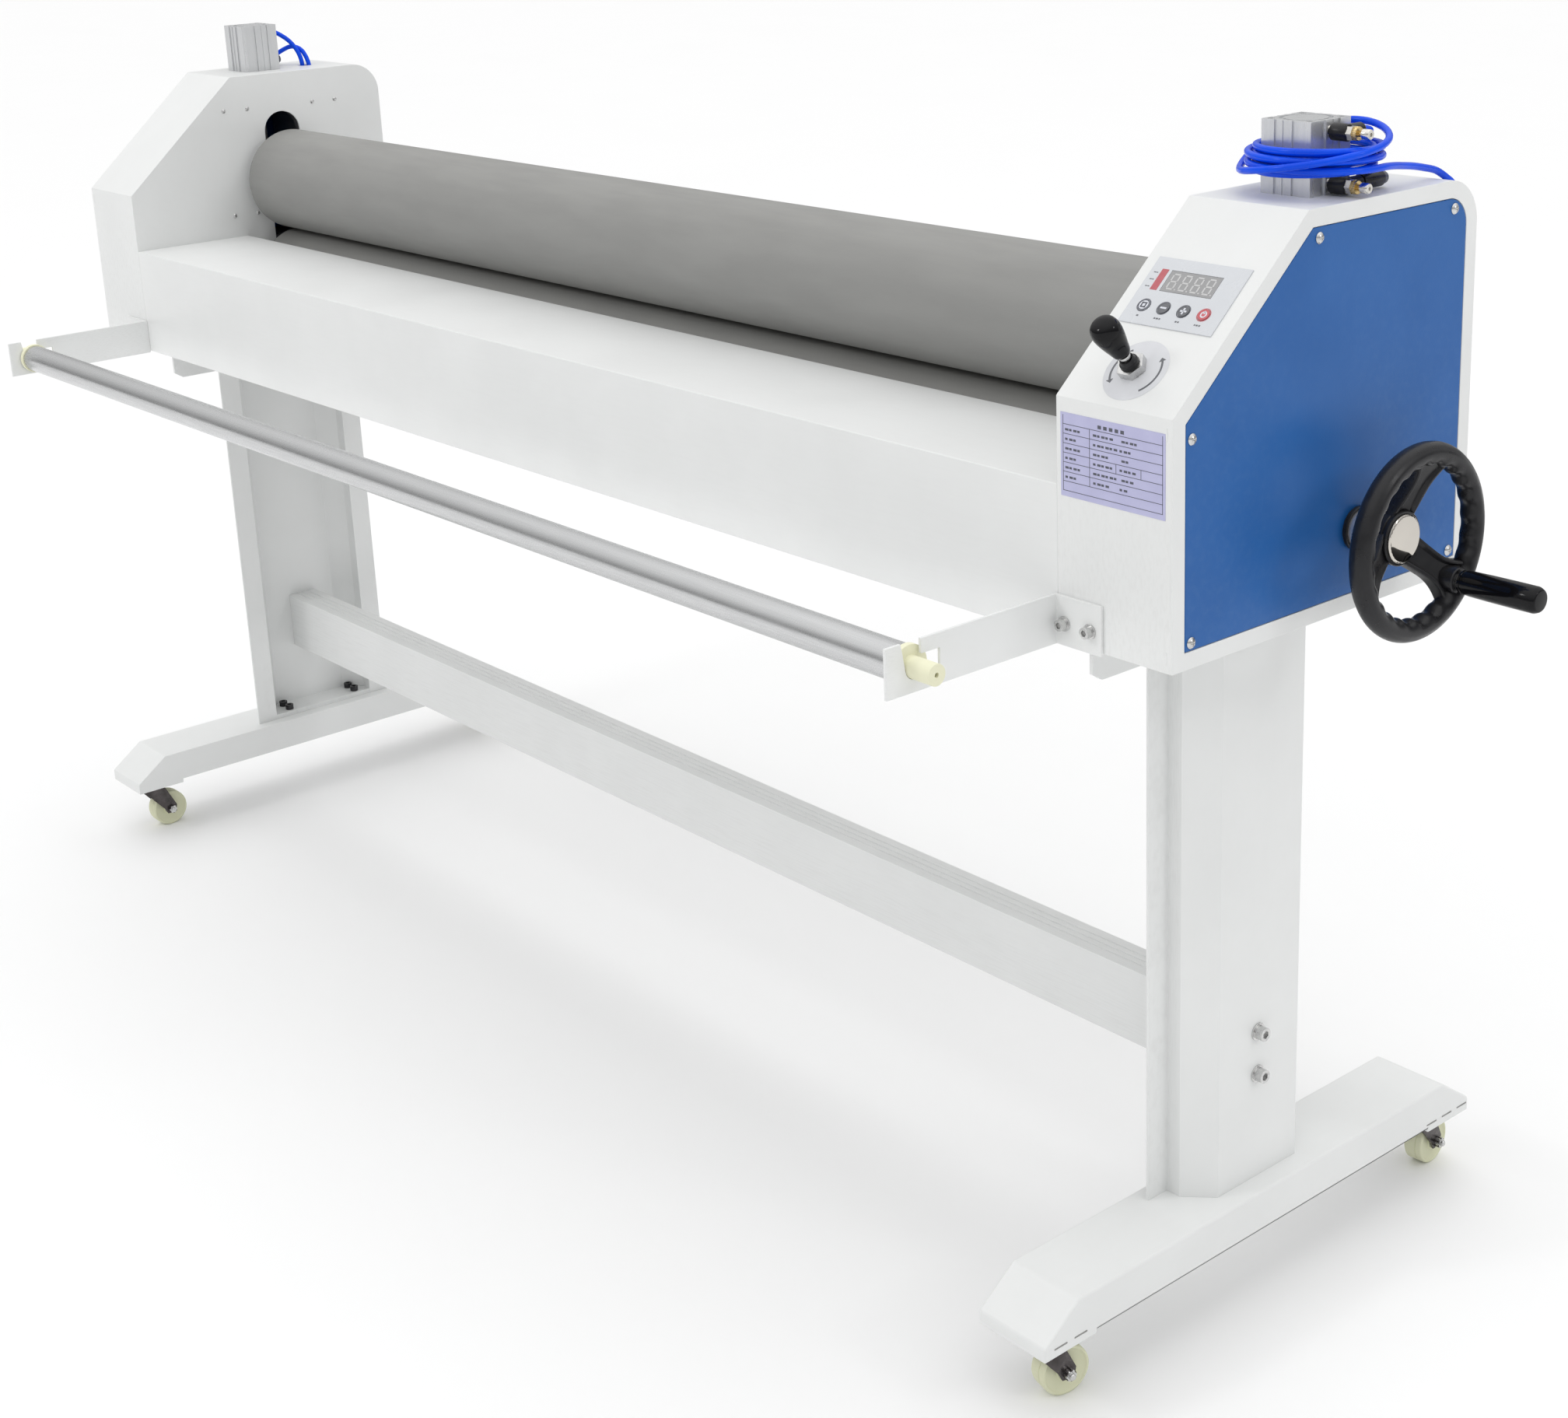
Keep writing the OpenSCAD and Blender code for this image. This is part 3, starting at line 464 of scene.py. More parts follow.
class Shape:
    """Collects the faces of one piece, given in millimetres."""

    def __init__(self) -> None:
        """Starts an empty shape."""
        self.bm = bmesh.new()

    def _face(self, verts: Iterable[bmesh.types.BMVert], finish: int) -> None:
        """Adds one face, unless it is already there.

        Args:
            verts: Its corners; repeated ones count once.
            finish: Material index.
        """
        ring = list(dict.fromkeys(verts))
        if len(ring) > 2 and not self.bm.faces.get(ring):
            self.bm.faces.new(ring).material_index = finish

    def _rows(self, rows: list, finish: int, loop: bool) -> None:
        """Joins rows of the same number of corners by faces.

        Args:
            rows: Rows of corners in order.
            finish: Material index.
            loop: Whether the last row joins the first.
        """
        for low, high in list(zip(rows, rows[1:])) + ([(rows[-1], rows[0])] if loop else []):
            for i in range(len(low)):
                j = (i + 1) % len(low)
                self._face((low[i], low[j], high[j], high[i]), finish)

    def rings(self, rings: Sequence[Sequence[Vector]], finish: int = 0, caps: bool = True,
              loop: bool = False) -> "Shape":
        """Skins a row of closed outlines that have the same number of points.

        Args:
            rings: Outlines in order, mm.
            finish: Material index.
            caps: Whether the first and last outlines are filled.
            loop: Whether the last outline joins the first.

        Returns:
            The shape itself.
        """
        made = [[self.bm.verts.new(p * MM) for p in ring] for ring in rings]
        self._rows(made, finish, loop)
        if caps and not loop:
            self._face(reversed(made[0]), finish)
            self._face(made[-1], finish)
        return self

    def turned(self, profile: Outline, origin: Point, axis: Vector | Axis, finish: int = 0,
               segments: int = 64, loop: bool = False) -> "Shape":
        """Turns a profile of (radius, distance) about an axis.

        Args:
            profile: Points in order; a zero radius closes on the axis.
            origin: Start of the axis, mm.
            axis: Direction of the axis.
            finish: Material index.
            segments: Faces round the axis.
            loop: Whether the profile closes on itself, as for a ring.

        Returns:
            The shape itself.
        """
        w = Vector(axis.value if isinstance(axis, Axis) else axis)
        rows: list[list[bmesh.types.BMVert]] = []
        for r, h in profile:
            centre = Vector(origin) + w * h
            if r < 1e-6:
                rows.append([self.bm.verts.new(centre * MM)] * segments)
            else:
                rows.append([self.bm.verts.new(p * MM) for p in circle(centre, w, [r] * segments)])
        self._rows(rows, finish, loop)
        return self

    def plate(self, outline: Outline, origin: Point, u: Vector, v: Vector, thick: float,
              finish: int = 0) -> "Shape":
        """Adds a flat plate from an outline in the u, v plane, raised along u x v.

        Args:
            outline: Points in order, mm.
            origin: The plane's origin, mm.
            u: First direction.
            v: Second direction.
            thick: Thickness, mm.
            finish: Material index.

        Returns:
            The shape itself.
        """
        w = u.cross(v)
        start = Vector(origin)
        return self.rings([[start + u * a + v * b + w * h for a, b in outline] for h in (0.0, thick)], finish)

    def piece(self, name: str, finishes: Sequence[Finish], body: str, slot: str,
              replaces: Sequence[str] = ()) -> bpy.types.Object:
        """Makes the object, gives it its finishes and fixes it to a body.

        Args:
            name: The piece's name.
            finishes: Finishes by material index.
            body: The body that it rides on.
            slot: The record's material slot; not used.
            replaces: CAD nodes that it stands for.

        Returns:
            The new object.
        """
        bmesh.ops.recalc_face_normals(self.bm, faces=self.bm.faces)
        mesh = bpy.data.meshes.new(name)
        self.bm.to_mesh(mesh)
        self.bm.free()
        mesh.shade_smooth()
        mesh.set_sharp_from_angle(angle=math.radians(SHARP_ANGLE))
        obj = put(name, mesh)
        for finish in finishes:
            mesh.materials.append(finish.material())
        return settle(obj, body, replaces)


def settle(obj: bpy.types.Object, body: str, replaces: Sequence[str] = ()) -> bpy.types.Object:
    """Fixes a new piece to its body and hides what it stands for.

    Args:
        obj: The piece.
        body: The body that it rides on.
        replaces: CAD nodes that it stands for.

    Returns:
        The piece.
    """
    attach(obj, body)
    if replaces:
        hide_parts(*replaces)
    LOG.info("made %s on %s", obj.name, body)
    return obj


def smooth_route(points: Sequence[Point], steps: int) -> list[Vector]:
    """Runs a Catmull-Rom curve through points.

    Args:
        points: The points, mm.
        steps: Steps between neighbouring points.

    Returns:
        The finer route, mm.
    """
    pts = [Vector(p) for p in points]
    route: list[Vector] = []
    for i in range(len(pts) - 1):
        a, b, c, d = pts[max(i - 1, 0)], pts[i], pts[i + 1], pts[min(i + 2, len(pts) - 1)]
        for s in range(steps):
            t = s / steps
            route.append(0.5 * (2 * b + (c - a) * t + (2 * a - 5 * b + 4 * c - d) * t * t
                                + (3 * b - a - 3 * c + d) * t ** 3))
    route.append(pts[-1])
    return route


# ---------- camera and light ----------


@dataclass
class Studio:
    """Camera, lamps and floor of a plain pale studio."""

    place: Vector = field(default_factory=lambda: Vector((2.12475, -1.50033, 1.31239)))
    azimuth: float = math.radians(49.7)
    elevation: float = math.radians(17.2)
    roll: float = math.radians(-2.1)
    focal: float = 55.0
    shift: tuple[float, float] = (-0.0474, -0.0991)
    horizon: float = 0.22
    zenith: float = 1.55
    floor_half: float = 40.0

    def camera(self) -> None:
        """Sets up the camera."""
        data = bpy.data.cameras.new("camera")
        data.lens = self.focal
        data.sensor_width = 36.0
        data.sensor_fit = "HORIZONTAL"
        data.shift_x, data.shift_y = self.shift
        data.clip_start = 0.05
        back = Vector((math.sin(self.azimuth) * math.cos(self.elevation),
                       -math.cos(self.azimuth) * math.cos(self.elevation), math.sin(self.elevation)))
        right = (-back).cross(Vector((0, 0, 1))).normalized()
        up = right.cross(-back)
        turned_right = right * math.cos(self.roll) + up * math.sin(self.roll)
        turned_up = up * math.cos(self.roll) - right * math.sin(self.roll)
        obj = put("camera", data)
        obj.matrix_world = Matrix.Translation(self.place) @ Matrix(
            (turned_right, turned_up, back)).transposed().to_4x4()
        bpy.context.scene.camera = obj

    def light(self) -> None:
        """Sets a sky that is brightest overhead and two large soft lamps."""
        scene = bpy.context.scene
        scene.view_settings.view_transform = "Standard"
        world = bpy.data.worlds.new("pale_room")
        scene.world = world
        world.use_nodes = True
        tree = world.node_tree
        sky = tree.nodes["Background"]
        sky.inputs["Color"].default_value = (1.0, 1.0, 1.0, 1.0)
        coords = add_node(tree, "TexCoord")
        parts = add_node(tree, "SeparateXYZ")
        levels = add_node(tree, "MapRange", {"To Min": self.horizon, "To Max": self.zenith})
        seen = add_node(tree, "LightPath")
        brighter = add_node(tree, "Math", operation="MAXIMUM")
        join(tree, (coords, "Generated", parts, "Vector"), (parts, "Z", levels, "Value"),
             (levels, "Result", brighter, 0), (seen, "Is Camera Ray", brighter, 1),
             (brighter, "Value", sky, "Strength"))
        for name, spot, aim, size, power in (
                ("key_lamp", (-1.0, -3.4, 3.2), (0.0, 0.0, 0.8), 0.7, 18.0),
                ("side_lamp", (4.4, 1.2, 2.6), (0.9, 0.0, 0.8), 0.6, 9.0)):
            data = bpy.data.lights.new(name, "AREA")
            data.shape = "SQUARE"
            data.size = size
            data.energy = power
            obj = put(name, data)
            obj.location = spot
            obj.rotation_euler = (Vector(aim) - Vector(spot)).to_track_quat("-Z", "Y").to_euler()

    def floor(self) -> None:
        """Lays the floor under the casters."""
        mesh = bpy.data.meshes.new("studio_floor")
        half = self.floor_half
        corners = [(-half, -half, 0), (half, -half, 0), (half, half, 0), (-half, half, 0)]
        mesh.from_pydata(corners, [], [(0, 1, 2, 3)])
        mesh.materials.append(STUDIO_FLOOR.material())
        put("studio_floor", mesh)


# ---------- air system ----------


@dataclass
class AirHoses:
    """The long blue hose wound on the right cylinder and the two short tubes on the left."""

    bore: float = 6.0
    centre: tuple[float, float] = (902.0, 31.0)
    inner_r: float = 46.8
    outer_r: float = 53.2
    pitch: float = 6.3
    step: int = 60
    inner_start: int = 585
    inner_stop: int = 1665
    outer_start: int = 1755
    outer_stop: float = 2527.1
    inner_z: float = 1027.0
    outer_z: float = 1046.2
    outer_fall: float = 15.9

    def lead(self) -> list[Point]:
        """Returns the route from the upper fitting round to the winding."""
        return [(PORT_X, PORT_Y, PORT_HIGH_Z), (931.8, 57.5, 1057.2), (929.6, 64.6, 1055.4),
                (924.8, 71.2, 1053.4), (917.6, 76.5, 1051.8), (908.5, 79.8, 1051)]

    def tail(self) -> list[Point]:
        """Returns the route from the winding down to the rear elbow."""
        return [(958, 38, 1030), (957, 50, 1030), (953, 66, 1028.5), (948, 84, 1026), (944, 104, 1023),
                (941, 124, 1019), (939, 142, 1014.5), (939, 157, 1006.6), (939, 167, 999.4),
                (938, 175.5, 987.5), (937, 179.6, 974), (936, 182.5, 962), (935, 186, 950)]

    def winding(self) -> list[tuple[float, float, float]]:
        """Returns the winding as (angle in degrees, radius, height)."""
        loose = [(94.6, 50.2, 1051), (118, 54.6, 1051.2), (142, 58.6, 1050), (170, 59.4, 1043),
                 (205, 59.4, 1029.5), (228, 59.4, 1027.2), (270, 59.4, 1032.5), (315, 59.4, 1039.5),
                 (360, 59.4, 1046.5), (390, 58.2, 1051.4), (412, 56.0, 1056), (436, 53.0, 1059.4),
                 (458, 49.4, 1059.4), (476, 45.8, 1055.6), (490, 42.2, 1050.6), (502, 40.3, 1045),
                 (516, 40.0, 1038.4), (532, 40.4, 1032.2), (550, 41.6, 1028.2), (568, 43.8, 1026.8),
                 (585, 46.4, 1026.8)]
        inner = [(angle, self.inner_r, self.inner_z + self.pitch * (angle - self.inner_start) / 360)
                 for angle in range(self.inner_start + 2 * self.step, self.inner_stop, self.step)]
        crossing = [(1665, 46.8, 1046.0), (1710, 49.8, 1046.3), (1755, 53.2, 1046.2)]
        fall = self.outer_fall / (self.outer_stop - self.outer_start)
        outer = [(angle, self.outer_r, self.outer_z - fall * (angle - self.outer_start))
                 for angle in range(self.outer_start + self.step, int(self.outer_stop), self.step)]
        return loose + inner + crossing + outer + [(self.outer_stop, 56.4, 1030)]

    def hose_route(self) -> list[Vector]:
        """Returns the whole hose's route, mm."""
        wound: list[Vector] = []
        for angle, radius, height in smooth_route(self.winding(), 8):
            turn = math.radians(angle)
            wound.append(Vector((self.centre[0] + radius * math.cos(turn),
                                 self.centre[1] + radius * math.sin(turn), height)))
        thinned = [wound[0]]
        for p in wound[1:]:
            if (p - thinned[-1]).length > 9.0:
                thinned.append(p)
        lead = smooth_route(self.lead() + [tuple(wound[0])], 2)
        tail = smooth_route(self.tail(), 2)
        return lead[:-1] + thinned + [t for t in tail[1:] if (t - thinned[-1]).length > 4.0]

    def tube(self, name: str, route: Sequence[Vector], replaces: Sequence[str]) -> None:
        """Args:
            name: The piece's name.
            route: Points of its centreline, mm.
            replaces: CAD nodes that it stands for.
        """
        curve = bpy.data.curves.new(name, "CURVE")
        curve.dimensions = "3D"
        curve.resolution_u = 5
        curve.bevel_depth = self.bore / 2 * MM
        curve.bevel_resolution = 6
        curve.use_fill_caps = True
        line = curve.splines.new("BEZIER")
        line.bezier_points.add(len(route) - 1)
        for knot, p in zip(line.bezier_points, route):
            knot.co = p * MM
            knot.handle_left_type = knot.handle_right_type = "AUTO"
        curve.materials.append(BLUE_TUBE.material())
        obj = settle(put(name, curve), "root", replaces)

    def build(self) -> None:
        """Makes the three hoses."""
        self.tube("blue_air_hose", self.hose_route(), ("hose_coil", "hose_tail"))
        upper = [(-PORT_X, PORT_Y, PORT_HIGH_Z), (-931, 62, 1057), (-924, 76, 1052), (-912, 88, 1041),
                 (-902, 95, 1026), (-897, 97, 1011), (-896, 97, 996)]
        lower = [(-PORT_X, PORT_Y, PORT_LOW_Z), (-932, 62, 1017), (-928, 78, 1024), (-917, 92, 1032),
                 (-904, 101, 1028), (-893, 104, 1013), (-889, 104, 996)]
        self.tube("left_upper_air_tube", smooth_route(upper, 2), ("left_air_tubes",))
        self.tube("left_lower_air_tube", smooth_route(lower, 2), ())


@dataclass
class FlowControls:
    """Speed controllers on the air cylinders and the hose's rear elbow."""

    face_x: float = 921.2
    port_offset: float = 11.0
    elbow_at: tuple[float, float, float] = (935.0, BACK_Y, 932.0)
    cylinder_x: float = 897.0
    cylinder_top: float = 1067.5
    screw_offset: float = 19.5

    def controller(self, side: Side, z: float, label: str) -> None:
        """Makes one speed controller.

        Args:
            side: Which cylinder it is on.
            z: Height of its axis, mm.
            label: The piece's name.
        """
        s = side.value
        axis = Axis.X if s > 0 else Axis.X_BACK
        origin = (s * self.face_x, AXIS_Y, z)
        shape = Shape()
        thread = [(0.0, 0.0)] + [(4.5 - 0.5 * (k % 2), 0.5 * k) for k in range(9)] + [(0.0, 4.0)]
        shape.turned(thread, origin, axis, 1)
        shape.turned([(0, 3), (6.2, 3), (7, 3.8), (7, 18.2), (6.4, 19), (0, 19)], origin, axis, 0)
        w = Vector(axis.value)
        u, v = direction_frame(w)
        shape.plate(arc(6.2, 0, 360, 6), Vector(origin) + w * 18.5, u, v, 6, 1)
        shape.rings([circle(Vector(origin) + w * h, w, [5.2 + ridge * (k % 2) for k in range(72)])
                     for h, ridge in ((24, 0.0), (24.4, 0.4), (28.6, 0.4), (29, 0.0))], 2)
        shape.turned([(0, 28.5), (2.5, 28.5), (2.5, 33), (0, 33)], origin, axis, 2, 24)
        shape.turned([(0, 32.5), (3.8, 32.5), (4.25, 33), (4.25, 39.2), (3.7, 40), (1.5, 40), (1.5, 38.4),
                      (0, 38.4)], origin, axis, 1, 40)
        port = (s * (self.face_x + self.port_offset), AXIS_Y, z)
        run = PORT_Y - AXIS_Y
        shape.turned([(0, 4), (5.5, 4), (5.5, run - 2.2), (5.0, run - 1.8), (0, run - 1.8)], port, Axis.Y, 0)
        shape.turned([(3.1, run - 2), (4.4, run - 2), (4.6, run - 0.4), (4.2, run), (3.1, run)],
                     port, Axis.Y, 3, 40, True)
        if z == PORT_LOW_Z:
            end = run + 25
            shape.turned([(0, run - 1), (6.2, run - 1), (6.7, run), (6.7, end - 1), (6.1, end), (0, end)],
                         port, Axis.Y, 0)
            shape.turned([(3.0, end), (5.0, end), (5.2, end + 4.4), (4.6, end + 5.6), (3.0, end + 5.6)],
                         port, Axis.Y, 3, 40, True)
        shape.piece(label, (BLACK_PLASTIC, NICKEL, BRASS, KEY_GREY), "root", "fitting_brass")

    def elbow(self) -> None:
        """Makes the elbow where the hose goes into the rear of the housing."""
        shape = Shape()
        u, v = direction_frame(Vector(Axis.Y.value))
        start = Vector(self.elbow_at)
        corner = start + Vector((0, 10, 0))
        shape.plate(arc(9.0, 0, 360, 6), start, u, v, 5, 1)
        shape.turned([(0, -8), (4.6, -8), (5.8, -7), (5.8, 14), (4.8, 16), (0, 16)], start, Axis.Y, 0)
        shape.turned([(0, 0), (6, 0), (6, 14.6), (5.4, 15.2), (0, 15.2)], corner, Axis.Z, 0)
        shape.turned([(3.1, 15), (5.0, 15), (5.1, 17.2), (4.6, 18), (3.1, 18)], corner, Axis.Z, 3, 40, True)
        shape.piece("rear_hose_elbow", (BLACK_PLASTIC, NICKEL, BRASS, KEY_GREY), "root", "fitting_brass",
                    ("air_fittings",))

    def cylinder_caps(self, side: Side) -> None:
        """Puts the round cover and the corner screws on a cylinder's top.

        Args:
            side: Which cylinder.
        """
        x, top = side.value * self.cylinder_x, self.cylinder_top
        shape = Shape()
        shape.turned([(0, -0.4), (12, -0.4), (12.6, -0.1), (17, -0.1), (17.6, -0.4), (17.6, -1.2), (0, -1.2)],
                     (x, AXIS_Y, top), Axis.Z, 0, 96)
        for dx in (-self.screw_offset, self.screw_offset):
            for dy in (-self.screw_offset, self.screw_offset):
                shape.turned([(0, 0), (2.85, 0), (2.85, 3.4), (2.5, 3.8), (1.4, 3.8), (1.4, 2), (0, 2)],
                             (x + dx, AXIS_Y + dy, top - 5), Axis.Z, 1, 24)
        shape.piece(f"{side.word}_cylinder_cap", (UPRIGHT_ALUMINIUM, BRIGHT_ZINC), "root",
                    "anodised_aluminium")

    def build(self) -> None:
        """Makes all fittings."""
        for side in Side:
            self.controller(side, PORT_HIGH_Z, f"{side.word}_upper_flow_control")
            self.controller(side, PORT_LOW_Z, f"{side.word}_lower_flow_control")
            self.cylinder_caps(side)
        self.elbow()


# ---------- rollers, handwheel, knob ----------


@dataclass
class Rollers:
    """Rubber covers of the two rollers and the idler's tube."""

    length: float = 1636.0
    outer_r: float = 65.0
    wall: float = 10.0
    idler_y: float = -355.0
    idler_z: float = 686.0
    idler_half: float = 825.0

    def cover(self, name: str, node: str, body: str, z: float) -> None:
        """Makes one roller's rubber cover with slightly rounded ends.

        Args:
            name: The piece's name.
            node: The CAD node that it stands for.
            body: The roller's body.
            z: Height of the roller's axis, mm.
        """
        half, r, inner = self.length / 2, self.outer_r, self.outer_r - self.wall
        edge = [(r - 1.2, 0.0), (r - 0.35, 0.35), (r, 1.2)]
        stations = [self.length * k / 12 for k in range(1, 12)]
        profile = [(inner, 0.0)] + edge + [(r, h) for h in stations] + [
            (rr, self.length - h) for rr, h in reversed(edge)] + [(inner, self.length)]
        Shape().turned(profile, (-half, AXIS_Y, z), Axis.X, 0, 192, True).piece(
            name, (RUBBER,), body, "roller_rubber", (node,))

    def idler(self) -> None:
        """Makes the idler's aluminium tube."""
        half = self.idler_half
        profile = [(14.0, 0.0), (15.4, 0.0), (16.0, 0.6), (16.0, half), (16.0, 2 * half - 0.6),
                   (15.4, 2 * half), (14.0, 2 * half)]
        Shape().turned(profile, (-half, self.idler_y, self.idler_z), Axis.X, 0, 96, True).piece(
            "idler_sleeve", (ALUMINIUM,), "idler", "anodised_aluminium", ("idler_tube",))

    def build(self) -> None:
        """Makes the three."""
        self.cover("top_roller_cover", "top_roller_rubber", "top_roller", TOP_Z)
        self.cover("drive_roller_cover", "drive_roller_rubber", "drive_roller", DRIVE_Z)
        self.idler()


@dataclass
class HandWheel:
    """Black three-spoke handwheel with its folding crank grip."""

    rim_x: float = 1019.0
    hub_x: float = 985.0
    rim_r: float = 72.5
    rim_t: float = 20.0
    spoke_angles: tuple[float, float, float] = (-42.0, 78.0, 198.0)
    crank: tuple[float, float] = (71.5, 696.5)
    finger_waves: int = 24
    finger_depth: float = 2.3
    groove_at: float = 58.0
    groove_depth: float = 0.7
    spoke_from: float = 17.0
    spoke_to: float = 68.5

    def rim(self, shape: Shape) -> None:
        """Adds the rim, with a wavy inner edge for the fingers.

        Args:
            shape: The wheel's shape.
        """
        steps, sides = 288, 40
        rings: list[list[Vector]] = []
        for i in range(steps):
            a = math.tau * i / steps
            wave = self.finger_depth * (0.5 + 0.5 * math.cos(a * self.finger_waves))
            out = Vector((0, math.cos(a), math.sin(a)))
            ring = []
            for k in range(sides):
                b = math.tau * k / sides
                inward = max(0.0, -math.cos(b)) ** 1.5
                groove = self.groove_depth * max(0.0, 1.0 - abs(math.degrees(b) - self.groove_at) / 7.0)
                r = self.rim_t / 2 - groove - wave * inward
                ring.append(Vector((self.rim_x, AXIS_Y, DRIVE_Z)) + out * (self.rim_r + r * math.cos(b))
                            + ACROSS * (r * math.sin(b)))
            rings.append(ring)
        shape.rings(rings, 0, False, True)

    def spoke(self, shape: Shape, angle: float) -> None:
        """Adds one tapered channel spoke.

        Args:
            shape: The wheel's shape.
            angle: Its angle about the shaft, degrees.
        """
        a = math.radians(angle)
        out = Vector((0, math.cos(a), math.sin(a)))
        across = Vector((0, -math.sin(a), math.cos(a)))
        rings: list[list[Vector]] = []
        for k in range(17):
            t = k / 16
            r = self.spoke_from + (self.spoke_to - self.spoke_from) * t
            low = self.hub_x + 3 + (self.rim_x - 7 - self.hub_x - 3) * t
            high, rib = low + 13, 3.4
            w = 11.5 + 2.5 * (1 - t) ** 3 + 11.5 * max(0.0, (t - 0.5) / 0.5) ** 2
            floor = high - 3.6 * math.sin(math.pi * min(1.0, 0.1 + t * 0.8)) ** 0.5
            outline = [(-w + 1, low), (w - 1, low), (w, low + 1.2), (w, high - 2.2), (w - 0.6, high - 0.6),
                       (w - 2.0, high), (w - rib, high - 0.3), (w - rib - 2, floor), (-w + rib + 2, floor),
                       (-w + rib, high - 0.3), (-w + 2.0, high), (-w + 0.6, high - 0.6), (-w, high - 2.2),
                       (-w, low + 1.2)]
            centre = Vector((0, AXIS_Y, DRIVE_Z)) + out * r
            rings.append([centre + across * s + ACROSS * x for s, x in outline])
        shape.rings(rings)

    def wheel(self) -> None:
        """Makes the wheel."""
        shape = Shape()
        self.rim(shape)
        for angle in self.spoke_angles:
            self.spoke(shape, angle)
        shape.turned([(0, 0), (15.2, 0), (16, 0.8), (16, 2.6), (22, 3.2), (23, 4.4), (23, 13.4), (21.8, 14.2),
                      (21.8, 15.4), (23, 16.2), (23, 18.2), (22.2, 19), (0, 19)],
                     (self.hub_x, AXIS_Y, DRIVE_Z), Axis.X, 0, 96)
        shape.turned([(0, -6), (10, -6), (11, -5), (11, 7), (10.2, 8), (0, 8)],
                     (self.rim_x, *self.crank), Axis.X, 0, 48)
        shape.piece("handwheel_moulding", (BLACK_PLASTIC,), "drive_roller", "black_plastic", ("handwheel",))

    def grip(self) -> None:
        """Makes the free-turning crank grip and its thrust washer."""
        origin = (self.rim_x + 11.4, *self.crank)
        outer = [(4.1, 0.0), (9.4, 0.0), (9.8, 0.5), (9.8, 2.2), (9.2, 2.6), (9.2, 3.4), (10.1, 3.9),
                 (10.6, 10), (11.0, 28), (11.2, 50), (11.2, 69.4), (10.9, 70.6), (9.6, 73.2), (9.0, 73.8),
                 (8.0, 74), (0, 74)]
        Shape().turned(outer + [(0, 72.0), (4.1, 72.0)], origin, Axis.X, 0, 72, True).turned(
            [(4.2, -0.2), (8.6, -0.2), (8.8, 0.2), (4.2, 0.2)], origin, Axis.X, 1, 48, True,
        ).piece("crank_handle", (GLOSS_BLACK, BLACK_OXIDE), "grip", "gloss_black", ("crank_grip",))

    def boss(self) -> None:
        """Makes the black flange ring round the shaft on the side cover."""
        Shape().turned([(16.2, 0), (18.0, 0), (18.6, 0.6), (18.6, 3.4), (18.0, 4), (16.8, 4), (16.2, 3.4)],
                       (CASING_X + 0.6, AXIS_Y, DRIVE_Z), Axis.X, 0, 72, True).piece(
            "shaft_flange_ring", (BLACK_PLASTIC,), "root", "black_plastic")

    def build(self) -> None:
        """Makes the wheel, its grip and the flange ring."""
        self.wheel()
        self.grip()
        self.boss()


@dataclass
class ValveKnob:
    """Glossy black ball-ended knob of the air valve."""

    x: float = 892.0
    along: float = 37.0
    base: float = 17.6
    shrink: float = 39.5 / 41.5

    def build(self) -> None:
        """Makes the knob and the bright ferrule under it."""
        Shape().turned([(2.6, 0), (4.4, 0), (4.7, 0.4), (4.7, 3.7), (4.4, 4.1), (2.6, 4.1)],
                       on_slope(self.x, self.along, 13.6), Axis.SLOPE_OUT, 0, 48, True).piece(
            "valve_ferrule", (BRIGHT_ZINC,), "lever", "ground_steel")
        rough = [(2.6, 0.0), (5.0, 0.0), (5.6, 0.6), (6.4, 1.6), (7.6, 4.0), (9.0, 10), (10.6, 17),
                 (11.8, 23.5), (12.25, 28), (12.1, 32), (11.2, 35.8), (9.4, 38.8), (6.6, 40.6), (3.4, 41.4)]
        fine = [(p.x, p.y * self.shrink) for p in smooth_route([(r, h, 0.0) for r, h in rough], 3)]
        Shape().turned(fine + [(0.0, 41.5 * self.shrink), (0.0, 16.0), (2.6, 16.0)],
                       on_slope(self.x, self.along, self.base), Axis.SLOPE_OUT, 0, 72, True).piece(
            "valve_knob_ball", (GLOSS_BLACK,), "lever", "gloss_black", ("valve_knob",))


# ---------- casters ----------


